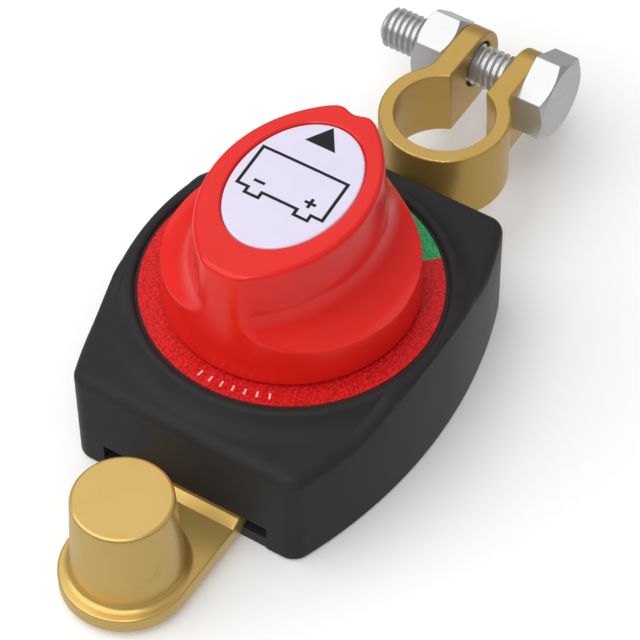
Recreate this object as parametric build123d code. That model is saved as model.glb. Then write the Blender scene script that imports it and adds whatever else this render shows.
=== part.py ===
from build123d import *
import math
import os

# Battery isolator switch. Millimetres, +Z up.
# The origin is on the base plane, under the knob's axis. +X points to the clamp, -X to the post.
# It is modelled switched on: the knob's handle lies along X.

# ---- Battery post standard, shared by the post and the clamp ----
POST_TOP_D = 17.5  # positive battery post, diameter at its top
POST_TAPER = 1 / 9  # diameter lost for each millimetre of height
POST_HEIGHT = 18.0

# ---- Housing ----
BODY_HALF_LENGTH = 34.7
BODY_END_HALF_WIDTH = 22.3
BODY_MID_HALF_WIDTH = 29.2
BODY_HEIGHT = 21.9  # top face at the corners
BODY_WALL = 2.5
BODY_CORNER_R = 2.6
BODY_EDGE_R = 2.4
BEAD_CREST_R = 28.1
BEAD_RISE = 3.3  # crest of the bead above the corners
BEAD_TUBE_R = 1.0
SWELL_OUT_R = 33.0  # where the soft swell up to the bead begins
SWELL_INSET = 0.5  # the swell keeps this far inside the housing's sides
SWELL_EDGE_R = 1.1
SLOT_HALF_WIDTH = 16.7
SLOT_OVER_BAR = 0.5  # air over the terminal bar in the end slot
JOIN = 0.5  # joined pieces run this far into each other
PAST = 1.0  # cutters run this far past the surface they cut
TOUCH = 0.01  # closer than this counts as level

# ---- Dial label ----
LABEL_R = 26.5
LABEL_T = 0.35
LABEL_DROP = 0.55  # the label's face lies this far under the bead's crest

# ---- Base plate ----
PLATE_T = 2.5
PLATE_FLOOR = 1.0  # what is left under the terminal bars
PLATE_GAP = 0.15
SILL_IN = 0.4  # the plate's sill stands this far inside the housing's end
GASKET_T = 0.6
GASKET_W = 2.0
GASKET_FROM_SLOT = 0.8
SCREW_IN_X = 7.2  # screws, in from the housing's end
SCREW_IN_Y = 6.1  # screws, in from its side at the end
SCREW_SHANK_R = 1.4
SCREW_HEAD_R = 2.8
SCREW_HEAD_T = 1.2
SCREW_SINK = 0.1  # the heads lie this far inside the plate
SCREW_LENGTH = 11.0
BOSS_R = 3.4
BOSS_PLAY = 0.1
SCREW_PLAY = 0.2
CROSS_REACH = 1.6
CROSS_HALF_WIDTH = 0.35
CROSS_DEPTH = 0.8

# ---- Terminals ----
TONGUE_T = 3.4
TONGUE_HALF_WIDTH = 11.5
TONGUE_SHIFT = 0.8  # the tongue's round end lies this far beyond the post's axis
BAR_T = 4.4  # thicker inside the housing
BAR_HALF_WIDTH = 9.0
BAR_WIDE_IN = 6.0  # the bar is as wide as the tongue this far into the housing
BAR_OUT = 0.4  # the thick bar reaches this far out of the housing
CHANNEL_PLAY = 0.1
RAMP = 1.8
POST_OUT = 16.9  # post's axis, out from the housing's end
POST_EDGE = 0.55
POST_FOOT_R = 0.9
TONGUE_EDGE = 0.45
CLAMP_OUT = 16.8  # ring's axis, out from the housing's end
CLAMP_BORE_TOP_R = 9.2
CLAMP_WALL = 2.9
CLAMP_TOP_Z = 21.1
CLAMP_HEIGHT = 15.4
NECK_HALF_WIDTH = 8.0
NECK_RISE = 5.0
NECK_FOOT = 0.6  # the neck's slope begins this far outside the thick bar's end
EAR_GAP = 7.6  # slit between the ears
EAR_T = 4.4
EAR_REACH = 19.0  # centre of the ears' rounded ends, out from the ring's axis
EAR_NOTCH_R = 4.0  # concave blend where an ear leaves the ring

# ---- Clamp bolt and nut, M8 thread ----
BOLT_R = 4.0
BOLT_REACH = 19.2  # bolt's axis, out from the ring's axis
BOLT_Z = 14.8
BOLT_LENGTH = 32.0
HEAD_FLATS = 14.8
HEAD_T = 5.7
NUT_FLATS = 13.0
NUT_T = 6.8
BOLT_PLAY = 0.5  # radial room in the ears
THREAD_PLAY = 0.05  # radial room in the nut
HEX_CHAMFER = 0.9
FLAT_SHARE = 0.97  # round face on a hexagon, as a share of its flats
TIP_CHAMFER = 0.8
NUT_TURN = 12.5  # how the nut happens to stand, in degrees

# ---- Contacts ----
BAR_END_X = 10.6
CONTACT_X = 15.3
CONTACT_R = 4.4
CONTACT_T = 1.2
BRIDGE_HALF_LENGTH = 19.5
BRIDGE_HALF_WIDTH = 6.0
BRIDGE_T = 2.5
BRIDGE_PLAY = 0.1
SPRING_R = 3.5
SPRING_WIRE_R = 0.45
SPRING_TURNS = 4
SPRING_GAP = 4.0  # working height of the contact spring
SPRING_PLAY = 0.4
BRIDGE_CORNER_R = 1.5
BRIDGE_ROOM = 0.4  # air over the bridge in the rotor's window

# ---- Rotor, from the pivot up ----
PIVOT_R = 4.0
PIVOT_UNDER_CONTACT = 1.4
PIVOT_ROOM = 0.3
ROTOR_OVER_PLATE = 0.7
BEARING_FACE_IN = 1.5  # the rotor stands on a face this much smaller than its foot
RUNNING = 0.05  # radial running clearance
CARRIER_R = 10.0
FOOT_R = 9.0
CARRIER_TOP_Z = 11.0
CAM_HALF_WIDTH = 8.0
CAM_HEIGHT = 3.5
CAM_CORNER_R = 2.6
COLLAR_R = 11.5
COLLAR_T = 1.5
LUG_R = 15.0
LUG_HALF_ANGLE = 10.0
LUG_ANGLE = 225.0  # where the lug points when the switch is on
STOP_GAP_ANGLE = 0.6
STOP_ANGLE = 18.0
STOP_OFF_COLLAR = 0.6
STOP_REACH = 1.0  # the stops reach this far beyond the lug
STOP_OFF_CAM = 0.1
LUG_OFF_CAM = 0.2
TURN = 90.0
WASHER_T = 0.5
WASHER_PLAY = 0.02
WASHER_BORE_PLAY = 0.1
WASHER_EDGE_IN = 0.2
JOURNAL_R = 8.95
BORE_TUBE_WALL = 2.4
SEAL_R = 0.8
SEAL_Z = 20.6
SEAL_SQUEEZE = 0.03
SEAL_ROOM = 0.2
JOURNAL_INTO_KNOB = 1.0
STEM_HALF = 4.5  # square stem that drives the knob
STEM_TOP_Z = 38.0
STEM_CORNER_R = 1.0
LEAF_T = 0.5
LEAF_HALF_LENGTH = 17.5
LEAF_HEIGHT = 3.0
LEAF_PLAY = 0.05
LEAF_LIFT = 0.2  # off the carrier
LEAF_POST_HALF_LENGTH = 1.5
LEAF_POST_INSIDE = 1.4
LEAF_POST_OUTSIDE = 2.0
PEG_R = 1.8
PEG_IN = 9.7  # pegs, in from the housing's end
PEG_Y = 5.5
PEG_UNDER_BAR = 0.4  # the pegs end this far under the bar's top

# ---- Knob ----
KNOB_LIFT = 0.35  # air between the dial label and the knob
KNOB_TOP_Z = 49.2
KNOB_TOP_R = 21.3
KNOB_SKIRT_R = 22.7
HANDLE_TIP_HALF = 3.5
HANDLE_MID_HALF = 14.1
SCOOP_FLOOR_Z = 32.6
SCOOP_R = 8.0
SCOOP_DRAFT = 0.5
KNOB_EDGE_R = 1.2
KNOB_WALL = 2.4
HUB_R = 8.4
OVAL_LENGTH = 15.0  # semi-axis along the handle
OVAL_WIDTH = 10.5
OVAL_X = 1.2  # the label sits a little towards the pointing end
OVAL_RECESS = 0.8
OVAL_T = 0.75
OVAL_ROUND = 0.6  # rounding of its rim, as a share of its thickness
OVAL_GAP = 0.15
NOTCH_R = 5.0
NOTCH_DEPTH = 0.9
NOTCH_HEIGHT = 6.0
KNOB_SCREW_R = 2.0
KNOB_SCREW_HEAD_R = 3.5
KNOB_SCREW_HEAD_T = 2.6
KNOB_WASHER_T = 0.8
KNOB_WASHER_PLAY = 0.15
KNOB_WASHER_EDGE = 0.5
KNOB_SCREW_PLAY = 0.02
KNOB_FLOOR_T = 3.0
KNOB_SCREW_LENGTH = 14.0
SCREW_HEX_R = 1.7
SCREW_HEX_FLOOR = 1.0
HOLE_PLAY = 0.3
HEAD_ROOM = 1.0
SOCKET_PLAY = 0.05
HANDLE_ROOF_T = 5.0  # left under the oval label
HANDLE_HOLLOW_DOWN = 4.0  # the handle's hollow starts this far under the scoops
HUB_UNDER_LABEL = 2.0

# ---- Worked out from the above ----
POST_X = BODY_HALF_LENGTH + POST_OUT
CLAMP_X = BODY_HALF_LENGTH + CLAMP_OUT
EAR_END_X = CLAMP_X + EAR_REACH
BOLT_X = CLAMP_X + BOLT_REACH
SCREW_X = BODY_HALF_LENGTH - SCREW_IN_X
SCREW_Y = BODY_END_HALF_WIDTH - SCREW_IN_Y
PEG_X = BODY_HALF_LENGTH - PEG_IN
BAR_FACE_X = BODY_HALF_LENGTH + BAR_OUT
BAR_Z = PLATE_FLOOR
TONGUE_TOP_Z = BAR_Z + TONGUE_T
BAR_TOP_Z = BAR_Z + BAR_T
POST_TOP_Z = TONGUE_TOP_Z + POST_HEIGHT
POST_BASE_R = (POST_TOP_D + POST_TAPER * POST_HEIGHT) / 2
CLAMP_OUT_R = CLAMP_BORE_TOP_R + CLAMP_WALL
CLAMP_BOTTOM_Z = CLAMP_TOP_Z - CLAMP_HEIGHT
CLAMP_BORE_BOTTOM_R = CLAMP_BORE_TOP_R + POST_TAPER * CLAMP_HEIGHT / 2
EAR_OUT_Y = EAR_GAP / 2 + EAR_T
EAR_R = CLAMP_HEIGHT / 2
EAR_END_Z = CLAMP_BOTTOM_Z + EAR_R
BEAD_CREST_Z = BODY_HEIGHT + BEAD_RISE
LABEL_Z = BEAD_CREST_Z - LABEL_DROP
DECK_TOP_Z = LABEL_Z - LABEL_T
DECK_UNDER_Z = DECK_TOP_Z - BODY_WALL
CONTACT_TOP_Z = BAR_TOP_Z + CONTACT_T
BRIDGE_TOP_Z = CONTACT_TOP_Z + BRIDGE_T
CAM_TOP_Z = CARRIER_TOP_Z + CAM_HEIGHT
COLLAR_TOP_Z = CAM_TOP_Z + COLLAR_T
BORE_R = JOURNAL_R + RUNNING
TUBE_R = BORE_R + BORE_TUBE_WALL
TUBE_BOTTOM_Z = COLLAR_TOP_Z + WASHER_T
ROTOR_BOTTOM_Z = PLATE_T + ROTOR_OVER_PLATE
PIVOT_TOP_Z = CONTACT_TOP_Z - PIVOT_UNDER_CONTACT
KNOB_BOTTOM_Z = LABEL_Z + KNOB_LIFT
OVAL_FLOOR_Z = KNOB_TOP_Z - OVAL_RECESS
KNOB_SEAT_Z = STEM_TOP_Z + KNOB_FLOOR_T
SPRING_CELL_R = SPRING_R + SPRING_WIRE_R + SPRING_PLAY
LEAF_Z = CARRIER_TOP_Z + LEAF_LIFT


def cylinder(r, z0, z1, x=0.0, y=0.0):
    """Upright cylinder from z0 to z1."""
    return Pos(x, y, z0) * Cylinder(r, z1 - z0, align=(Align.CENTER, Align.CENTER, Align.MIN))


def ring(r_in, r_out, z0, z1):
    return cylinder(r_out, z0, z1) - cylinder(r_in, z0 - PAST, z1 + PAST)


def block(x0, x1, y0, y1, z0, z1):
    """Box between two corners."""
    return Pos(x0, y0, z0) * Box(x1 - x0, y1 - y0, z1 - z0, align=(Align.MIN, Align.MIN, Align.MIN))


def cone(r0, r1, z0, z1, x=0.0):
    """Upright cone, radius r0 at z0 and r1 at z1."""
    return Pos(x, 0, z0) * Cone(r0, r1, z1 - z0, align=(Align.CENTER, Align.CENTER, Align.MIN))


def sector(r_in, r_out, z0, z1, start, end):
    """Piece of a ring between two angles in degrees."""
    mid_r = r_out * 1.5
    angles = [math.radians(start + (end - start) * k / 2) for k in range(3)]
    fan = [(0, 0)] + [(mid_r * math.cos(a), mid_r * math.sin(a)) for a in angles]
    wedge = Pos(0, 0, z0) * extrude(make_face(Polyline(*fan, close=True)), z1 - z0)
    return ring(r_in, r_out, z0, z1) & wedge


def body_plan(inset=0.0):
    """Plan of the housing: straight ends and bowed sides, pulled in by inset."""
    half, end, mid = BODY_HALF_LENGTH, BODY_END_HALF_WIDTH, BODY_MID_HALF_WIDTH
    bow = ThreePointArc((-half, end), (0, mid), (half, end))
    far = Line((half, end), (half, -end))
    back = ThreePointArc((half, -end), (0, -mid), (-half, -end))
    near = Line((-half, -end), (-half, end))
    face = make_face(Curve() + [bow, far, back, near])
    face = fillet(face.vertices(), BODY_CORNER_R)
    if inset:
        face = offset(face, amount=-inset, kind=Kind.INTERSECTION)
    return face


def prism(inset, z0, z1):
    return Pos(0, 0, z0) * extrude(body_plan(inset), z1 - z0)


def swell():
    """Turned solid under the housing's top: flat corners, a soft rise, the bead and the deck."""
    crest_z = BEAD_CREST_Z - BEAD_TUBE_R
    rim_in = BEAD_CREST_R - BEAD_TUBE_R
    rim_out = BEAD_CREST_R + BEAD_TUBE_R
    far = BODY_HALF_LENGTH * 2
    shoulder = (rim_out, crest_z)
    sag = 0.36  # under 0.5, so that the rise is hollow
    rise_x = rim_out + (SWELL_OUT_R - rim_out) * sag
    rise_mid = (rise_x, BODY_HEIGHT + (crest_z - BODY_HEIGHT) * sag)
    lines = [
        Line((0, 0), (far, 0)),
        Line((far, 0), (far, BODY_HEIGHT)),
        Line((far, BODY_HEIGHT), (SWELL_OUT_R, BODY_HEIGHT)),
        ThreePointArc((SWELL_OUT_R, BODY_HEIGHT), rise_mid, shoulder),
        ThreePointArc(shoulder, (BEAD_CREST_R, BEAD_CREST_Z), (rim_in, crest_z)),
        Line((rim_in, crest_z), (rim_in, DECK_TOP_Z)),
        Line((rim_in, DECK_TOP_Z), (0, DECK_TOP_Z)),
        Line((0, DECK_TOP_Z), (0, 0)),
    ]
    return revolve(Plane.XZ * make_face(Curve() + lines), Axis.Z)


def end_slots():
    """Openings under both ends, where the terminals come out."""
    top = BAR_TOP_Z + SLOT_OVER_BAR
    inner = BODY_HALF_LENGTH - 2 * BODY_WALL
    outer = BODY_HALF_LENGTH + PAST
    slot = block(inner, outer, -SLOT_HALF_WIDTH, SLOT_HALF_WIDTH, -PAST, top)
    return slot + Rot(0, 0, 180) * slot


def screw_places():
    return [(sx * SCREW_X, sy * SCREW_Y) for sx in (-1, 1) for sy in (-1, 1)]


def leaf_posts():
    """Four posts under the deck that hold the ends of the two leaf springs."""
    x0 = LEAF_HALF_LENGTH - LEAF_POST_HALF_LENGTH
    x1 = LEAF_HALF_LENGTH + LEAF_POST_HALF_LENGTH
    y0 = CAM_HALF_WIDTH - LEAF_POST_INSIDE
    y1 = CAM_HALF_WIDTH + LEAF_T + LEAF_POST_OUTSIDE
    post = block(x0, x1, y0, y1, CARRIER_TOP_Z, DECK_UNDER_Z + JOIN)
    leaf_y = CAM_HALF_WIDTH + LEAF_PLAY
    leaf_top = LEAF_Z + LEAF_HEIGHT
    pocket = block(x0 - PAST, LEAF_HALF_LENGTH, leaf_y, leaf_y + LEAF_T, CARRIER_TOP_Z - PAST, leaf_top)
    one = post - pocket
    two = one + mirror(one, about=Plane.YZ)
    return two + mirror(two, about=Plane.XZ)


def stops():
    """Two ribs that stop the rotor's lug at off and at on."""
    low_end = LUG_ANGLE - LUG_HALF_ANGLE - STOP_GAP_ANGLE
    high_start = LUG_ANGLE + TURN + LUG_HALF_ANGLE + STOP_GAP_ANGLE
    r_in = COLLAR_R + STOP_OFF_COLLAR
    r_out = LUG_R + STOP_REACH
    z0 = CAM_TOP_Z + STOP_OFF_CAM
    z1 = DECK_UNDER_Z + JOIN
    first = sector(r_in, r_out, z0, z1, low_end - STOP_ANGLE, low_end)
    second = sector(r_in, r_out, z0, z1, high_start, high_start + STOP_ANGLE)
    return first + second


def shell_hollow():
    """Room inside the housing, higher under the dial deck."""
    low = prism(BODY_WALL, -PAST, BODY_HEIGHT - BODY_WALL)
    inside = prism(BODY_WALL, -PAST, BEAD_CREST_Z)
    deck_r = BEAD_CREST_R - BEAD_TUBE_R - BODY_WALL
    return low + (cylinder(deck_r, 0, DECK_UNDER_Z) & inside)


def housing_cover():
    """Moulded shell with the dial deck, the bore tube, the stops and the screw bosses."""
    shell = prism(0, 0, BODY_HEIGHT)
    shell = fillet(shell.faces().sort_by(Axis.Z)[-1].edges(), BODY_EDGE_R)
    raised = prism(SWELL_INSET, 0, BEAD_CREST_Z)
    raised = fillet(raised.faces().sort_by(Axis.Z)[-1].edges(), SWELL_EDGE_R)
    outer = shell + (raised & swell())
    tube = ring(BORE_R, TUBE_R, TUBE_BOTTOM_Z, DECK_UNDER_Z + JOIN)
    cover = outer - shell_hollow() - end_slots() + tube + stops() + leaf_posts()
    boss_top = BODY_HEIGHT - BODY_WALL + JOIN
    for x, y in screw_places():
        cover += cylinder(BOSS_R, PLATE_T + GASKET_T, boss_top, x, y)
        cover -= cylinder(SCREW_SHANK_R + RUNNING, 0, SCREW_LENGTH + 2 * PAST, x, y)
    return cover - cylinder(BORE_R, TUBE_BOTTOM_Z, BEAD_CREST_Z)


def plate_outline(z0, z1):
    return prism(BODY_WALL + PLATE_GAP, z0, z1)


def bar_plan(z0, z1, play=0.0):
    """The part of a terminal bar inside the housing, on the +X side."""
    wide_from = BODY_HALF_LENGTH - BAR_WIDE_IN
    narrow_y = BAR_HALF_WIDTH + play
    wide_y = TONGUE_HALF_WIDTH + play
    narrow = block(BAR_END_X - play, wide_from, -narrow_y, narrow_y, z0, z1)
    return narrow + block(wide_from - play, BAR_FACE_X, -wide_y, wide_y, z0, z1)


def peg_places():
    return [(sx * PEG_X, sy * PEG_Y) for sx in (-1, 1) for sy in (-1, 1)]


def drill_peg_holes(bar):
    for x, y in peg_places():
        bar -= cylinder(PEG_R + RUNNING, 0, BAR_TOP_Z + PAST, x, y)
    return bar


def plate_sill():
    """Lip of the plate that fills the foot of the +X end slot."""
    half = SLOT_HALF_WIDTH - PLATE_GAP
    x0 = BODY_HALF_LENGTH - BODY_WALL - PLATE_GAP - JOIN
    return block(x0, BODY_HALF_LENGTH - SILL_IN, -half, half, 0, PLATE_T)


def base_plate():
    """Closing plate with channels for the bars, locating pegs, a pivot stub and screw holes."""
    plate = plate_outline(0, PLATE_T) + plate_sill() + Rot(0, 0, 180) * plate_sill()
    channel = bar_plan(PLATE_FLOOR, PLATE_T + PAST, CHANNEL_PLAY)
    plate = plate - channel - Rot(0, 0, 180) * channel
    for x, y in peg_places():
        plate += cylinder(PEG_R, PLATE_FLOOR - JOIN, BAR_TOP_Z - PEG_UNDER_BAR, x, y)
    bearing_z = ROTOR_BOTTOM_Z - RUNNING
    plate += cylinder(FOOT_R - BEARING_FACE_IN, PLATE_T - JOIN, bearing_z)
    plate += cylinder(PIVOT_R, PLATE_T - JOIN, PIVOT_TOP_Z)
    for x, y in screw_places():
        plate -= cylinder(SCREW_SHANK_R + SCREW_PLAY, -PAST, PLATE_T + PAST, x, y)
        plate -= cylinder(SCREW_HEAD_R + SCREW_PLAY, -PAST, SCREW_HEAD_T + SCREW_SINK, x, y)
    return plate


def side_gaskets():
    """Two seal strips between the plate and the cover's bosses, one along each side."""
    top = PLATE_T + GASKET_T
    inside = prism(BODY_WALL + PLATE_GAP + GASKET_W, PLATE_T - PAST, top + PAST)
    band = plate_outline(PLATE_T, top) - inside
    keep = SLOT_HALF_WIDTH + GASKET_FROM_SLOT
    far = BODY_HALF_LENGTH + PAST
    strips = [band & block(-far, far, keep, far, 0, top), band & block(-far, far, -far, -keep, 0, top)]
    holes = [cylinder(BOSS_R + BOSS_PLAY, 0, top + PAST, x, y) for x, y in screw_places()]
    return Compound([strip - holes for strip in strips])


def base_screws():
    """Four self-tapping screws with flat heads, from below."""
    long, half = CROSS_REACH, CROSS_HALF_WIDTH
    screws = []
    for x, y in screw_places():
        head = cylinder(SCREW_HEAD_R, SCREW_SINK, SCREW_HEAD_T + SCREW_SINK, x, y)
        shank = cylinder(SCREW_SHANK_R, SCREW_HEAD_T, SCREW_LENGTH, x, y)
        cross = block(x - long, x + long, y - half, y + half, -PAST, CROSS_DEPTH)
        cross += block(x - half, x + half, y - long, y + long, -PAST, CROSS_DEPTH)
        screws.append(head + shank - cross)
    return Compound(screws)


def is_tongue_rim(edge):
    """True for the upper rim of the tongue, outside the ramp."""
    box = edge.bounding_box()
    outside = box.max.X > BAR_FACE_X + PAST
    return outside and box.min.Z > TONGUE_TOP_Z - TOUCH and box.size.Z < TOUCH


def post_terminal():
    """Brass tongue with the tapered post, mirrored to the -X side."""
    tip_x = POST_X + TONGUE_SHIFT
    half = TONGUE_HALF_WIDTH
    tip = cylinder(half, BAR_Z, TONGUE_TOP_Z, tip_x)
    tongue = tip + block(BAR_FACE_X, tip_x, -half, half, BAR_Z, TONGUE_TOP_Z)
    tongue = chamfer([e for e in tongue.edges() if is_tongue_rim(e)], TONGUE_EDGE)
    ramp_end = BAR_FACE_X + RAMP
    side = [(BAR_FACE_X, BAR_Z), (ramp_end, BAR_Z), (ramp_end, TONGUE_TOP_Z), (BAR_FACE_X, BAR_TOP_Z)]
    ramp = extrude(Plane.XZ * make_face(Polyline(*side, close=True)), half, both=True)
    post = cone(POST_BASE_R, POST_TOP_D / 2, TONGUE_TOP_Z, POST_TOP_Z, POST_X)
    post = chamfer(post.edges().sort_by(Axis.Z)[-1], POST_EDGE)
    terminal = tongue + ramp + post + bar_plan(BAR_Z, BAR_TOP_Z)
    terminal = fillet([e for e in terminal.edges() if is_post_foot(e)], POST_FOOT_R)
    return drill_peg_holes(Rot(0, 0, 180) * terminal)


def is_post_foot(edge):
    """True for the circle where the post meets the tongue."""
    box = edge.bounding_box()
    level = abs(box.min.Z - TONGUE_TOP_Z) < TOUCH and box.size.Z < TOUCH
    return level and edge.geom_type == GeomType.CIRCLE and abs(edge.radius - POST_BASE_R) < TOUCH


def ear_plan(z0, z1):
    """Both ears in plan, with the concave blend into the ring on the outer sides."""
    end = EAR_END_X + EAR_R
    ears = block(CLAMP_X, end, -EAR_OUT_Y, EAR_OUT_Y, z0, z1)
    r = EAR_NOTCH_R
    reach = math.sqrt((CLAMP_OUT_R + r) ** 2 - (EAR_OUT_Y + r) ** 2)
    web = block(CLAMP_X, CLAMP_X + reach, -EAR_OUT_Y - r, EAR_OUT_Y + r, z0, z1)
    for side in (-1, 1):
        web -= cylinder(r, z0 - PAST, z1 + PAST, CLAMP_X + reach, side * (EAR_OUT_Y + r))
    share = CLAMP_OUT_R / (CLAMP_OUT_R + r)
    touch_x = CLAMP_X + reach * share
    touch_y = (EAR_OUT_Y + r) * share
    return ears + (web & block(touch_x - TOUCH, CLAMP_X + reach, -touch_y, touch_y, z0, z1))


def along_bolt(r, half_length, x, z):
    """Cylinder lying along Y, centred on y = 0."""
    return Pos(x, 0, z) * Rot(90, 0, 0) * Cylinder(r, 2 * half_length)


def clamp_ears():
    """Both ears, their ends round in side view."""
    z0, z1 = CLAMP_BOTTOM_Z, CLAMP_TOP_Z
    wide = CLAMP_OUT_R + PAST
    straight = block(CLAMP_X, EAR_END_X, -wide, wide, z0, z1)
    return ear_plan(z0, z1) & (straight + along_bolt(EAR_R, wide, EAR_END_X, EAR_END_Z))


def clamp_neck():
    """Foot that carries the ring, sloping up from the thick bar's end to the ring's wall."""
    wall_x = CLAMP_X - CLAMP_OUT_R
    top_z = BAR_TOP_Z + NECK_RISE
    profile = [
        (BAR_FACE_X, BAR_Z),
        (wall_x + CLAMP_WALL, BAR_Z),
        (wall_x + CLAMP_WALL, top_z),
        (wall_x, top_z),
        (BAR_FACE_X + NECK_FOOT, BAR_TOP_Z),
        (BAR_FACE_X, BAR_TOP_Z),
    ]
    return extrude(Plane.XZ * make_face(Polyline(*profile, close=True)), NECK_HALF_WIDTH, both=True)


def clamp_terminal():
    """Brass split ring on a neck, with two ears for the bolt."""
    z0, z1 = CLAMP_BOTTOM_Z, CLAMP_TOP_Z
    wall = cylinder(CLAMP_OUT_R, z0, z1, CLAMP_X)
    bore = cone(CLAMP_BORE_BOTTOM_R, CLAMP_BORE_TOP_R, z0, z1, CLAMP_X)
    bore += cylinder(CLAMP_BORE_BOTTOM_R, 0, z0, CLAMP_X)
    gap = EAR_GAP / 2
    slit = block(CLAMP_X, EAR_END_X + EAR_R + PAST, -gap, gap, z0 - PAST, z1 + PAST)
    bolt_hole = along_bolt(BOLT_R + BOLT_PLAY, EAR_OUT_Y + PAST, BOLT_X, BOLT_Z)
    solid = wall + clamp_ears() + clamp_neck() + bar_plan(BAR_Z, BAR_TOP_Z)
    return drill_peg_holes(solid - bore - slit - bolt_hole)


def contact(side):
    return cylinder(CONTACT_R, BAR_TOP_Z, CONTACT_TOP_Z, side * CONTACT_X)


def contact_bridge():
    """Copper bar that joins the two contacts."""
    half = BRIDGE_HALF_LENGTH
    bar = block(-half, half, -BRIDGE_HALF_WIDTH, BRIDGE_HALF_WIDTH, CONTACT_TOP_Z, BRIDGE_TOP_Z)
    return fillet(bar.edges().filter_by(Axis.Z), BRIDGE_CORNER_R)


def contact_spring():
    """Coil of round wire that presses the bridge down."""
    height = SPRING_GAP - 2 * SPRING_WIRE_R
    path = Helix(height / SPRING_TURNS, height, SPRING_R)
    start = path @ 0
    wire = Plane(origin=start, z_dir=path % 0) * Circle(SPRING_WIRE_R)
    coil = sweep(wire, path)
    return Pos(0, 0, BRIDGE_TOP_Z + SPRING_WIRE_R) * coil


def rotor():
    """Spindle: foot, bridge carrier, detent cam, collar with the stop lug, journal and stem."""
    shape = cylinder(FOOT_R, ROTOR_BOTTOM_Z, CONTACT_TOP_Z - BRIDGE_PLAY)
    shape += cylinder(CARRIER_R, CONTACT_TOP_Z - BRIDGE_PLAY, CARRIER_TOP_Z)
    cam = RectangleRounded(2 * CAM_HALF_WIDTH, 2 * CAM_HALF_WIDTH, CAM_CORNER_R)
    shape += Pos(0, 0, CARRIER_TOP_Z) * extrude(cam, CAM_HEIGHT)
    shape += cylinder(COLLAR_R, CAM_TOP_Z, COLLAR_TOP_Z)
    lug = (LUG_ANGLE - LUG_HALF_ANGLE, LUG_ANGLE + LUG_HALF_ANGLE)
    shape += sector(COLLAR_R - PAST, LUG_R, CAM_TOP_Z + LUG_OFF_CAM, COLLAR_TOP_Z, *lug)
    journal_top = KNOB_BOTTOM_Z + JOURNAL_INTO_KNOB
    shape += cylinder(JOURNAL_R, COLLAR_TOP_Z, journal_top)
    groove_r = BORE_R - 2 * SEAL_R - 2 * SEAL_SQUEEZE
    groove_half = SEAL_R + SEAL_ROOM
    shape -= ring(groove_r, JOURNAL_R + PAST, SEAL_Z - groove_half, SEAL_Z + groove_half)
    square = RectangleRounded(2 * STEM_HALF, 2 * STEM_HALF, STEM_CORNER_R)
    shape += Pos(0, 0, journal_top - JOIN) * extrude(square, STEM_TOP_Z - journal_top + JOIN)
    return shape - rotor_hollows()


def rotor_hollows():
    """What the rotor leaves free: the bridge, its spring, the pivot and the knob's screw."""
    reach = CARRIER_R + PAST
    side = BRIDGE_HALF_WIDTH + BRIDGE_PLAY
    window_top = BRIDGE_TOP_Z + BRIDGE_ROOM
    window = block(-reach, reach, -side, side, CONTACT_TOP_Z - BRIDGE_PLAY, window_top)
    cell = cylinder(SPRING_CELL_R, BRIDGE_TOP_Z, BRIDGE_TOP_Z + SPRING_GAP)
    pivot_hole = cylinder(PIVOT_R + RUNNING, ROTOR_BOTTOM_Z - PAST, PIVOT_TOP_Z + PIVOT_ROOM)
    screw_end = KNOB_SEAT_Z + KNOB_WASHER_T - KNOB_SCREW_LENGTH
    return window + cell + pivot_hole + cylinder(KNOB_SCREW_R, screw_end, STEM_TOP_Z + PAST)


def shaft_seal():
    return Pos(0, 0, SEAL_Z) * Torus(BORE_R - SEAL_R - SEAL_SQUEEZE, SEAL_R)


def thrust_washer():
    top = TUBE_BOTTOM_Z - WASHER_PLAY
    return ring(JOURNAL_R + WASHER_BORE_PLAY, COLLAR_R - WASHER_EDGE_IN, COLLAR_TOP_Z, top)


def detent_spring(side):
    """Flat leaf that lies against one flat of the cam."""
    y0 = CAM_HALF_WIDTH + LEAF_PLAY
    half = LEAF_HALF_LENGTH
    leaf = block(-half, half, y0, y0 + LEAF_T, LEAF_Z, LEAF_Z + LEAF_HEIGHT)
    return leaf if side > 0 else mirror(leaf, about=Plane.XZ)


def dial_label():
    """Round printed label on the deck."""
    return ring(TUBE_R, LABEL_R, DECK_TOP_Z, LABEL_Z)


def scoop_cutter():
    """Turned about the centre of one bowed handle side: what the scoop takes away."""
    bulge = HANDLE_MID_HALF - HANDLE_TIP_HALF
    bow_r = (KNOB_TOP_R**2 - HANDLE_TIP_HALF**2 + bulge**2) / (2 * bulge)
    centre_y = bow_r - HANDLE_MID_HALF
    top_z = KNOB_TOP_Z + 3 * PAST
    foot_z = SCOOP_FLOOR_Z + SCOOP_R
    far = bow_r + 4 * SCOOP_R
    angle = math.radians(45)
    foot_r = bow_r + SCOOP_DRAFT
    arc_mid = (foot_r + SCOOP_R * (1 - math.cos(angle)), foot_z - SCOOP_R * math.sin(angle))
    lines = [
        Line((bow_r, KNOB_TOP_Z), (foot_r, foot_z)),
        ThreePointArc((foot_r, foot_z), arc_mid, (foot_r + SCOOP_R, SCOOP_FLOOR_Z)),
        Line((foot_r + SCOOP_R, SCOOP_FLOOR_Z), (far, SCOOP_FLOOR_Z)),
        Line((far, SCOOP_FLOOR_Z), (far, top_z)),
        Line((far, top_z), (bow_r, top_z)),
        Line((bow_r, top_z), (bow_r, KNOB_TOP_Z)),
    ]
    turned = revolve(Plane.XZ * make_face(Curve() + lines), Axis.Z)
    return Pos(0, -centre_y, 0) * turned


def knob_outside():
    body = cone(KNOB_SKIRT_R, KNOB_TOP_R, KNOB_BOTTOM_Z, KNOB_TOP_Z)
    cutter = scoop_cutter()
    far = 2 * KNOB_SKIRT_R
    upper = block(-far, far, 0, far, SCOOP_FLOOR_Z - PAST, KNOB_TOP_Z + 4 * PAST)
    half_cut = cutter & upper
    return body - half_cut - mirror(half_cut, about=Plane.XZ)


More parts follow.
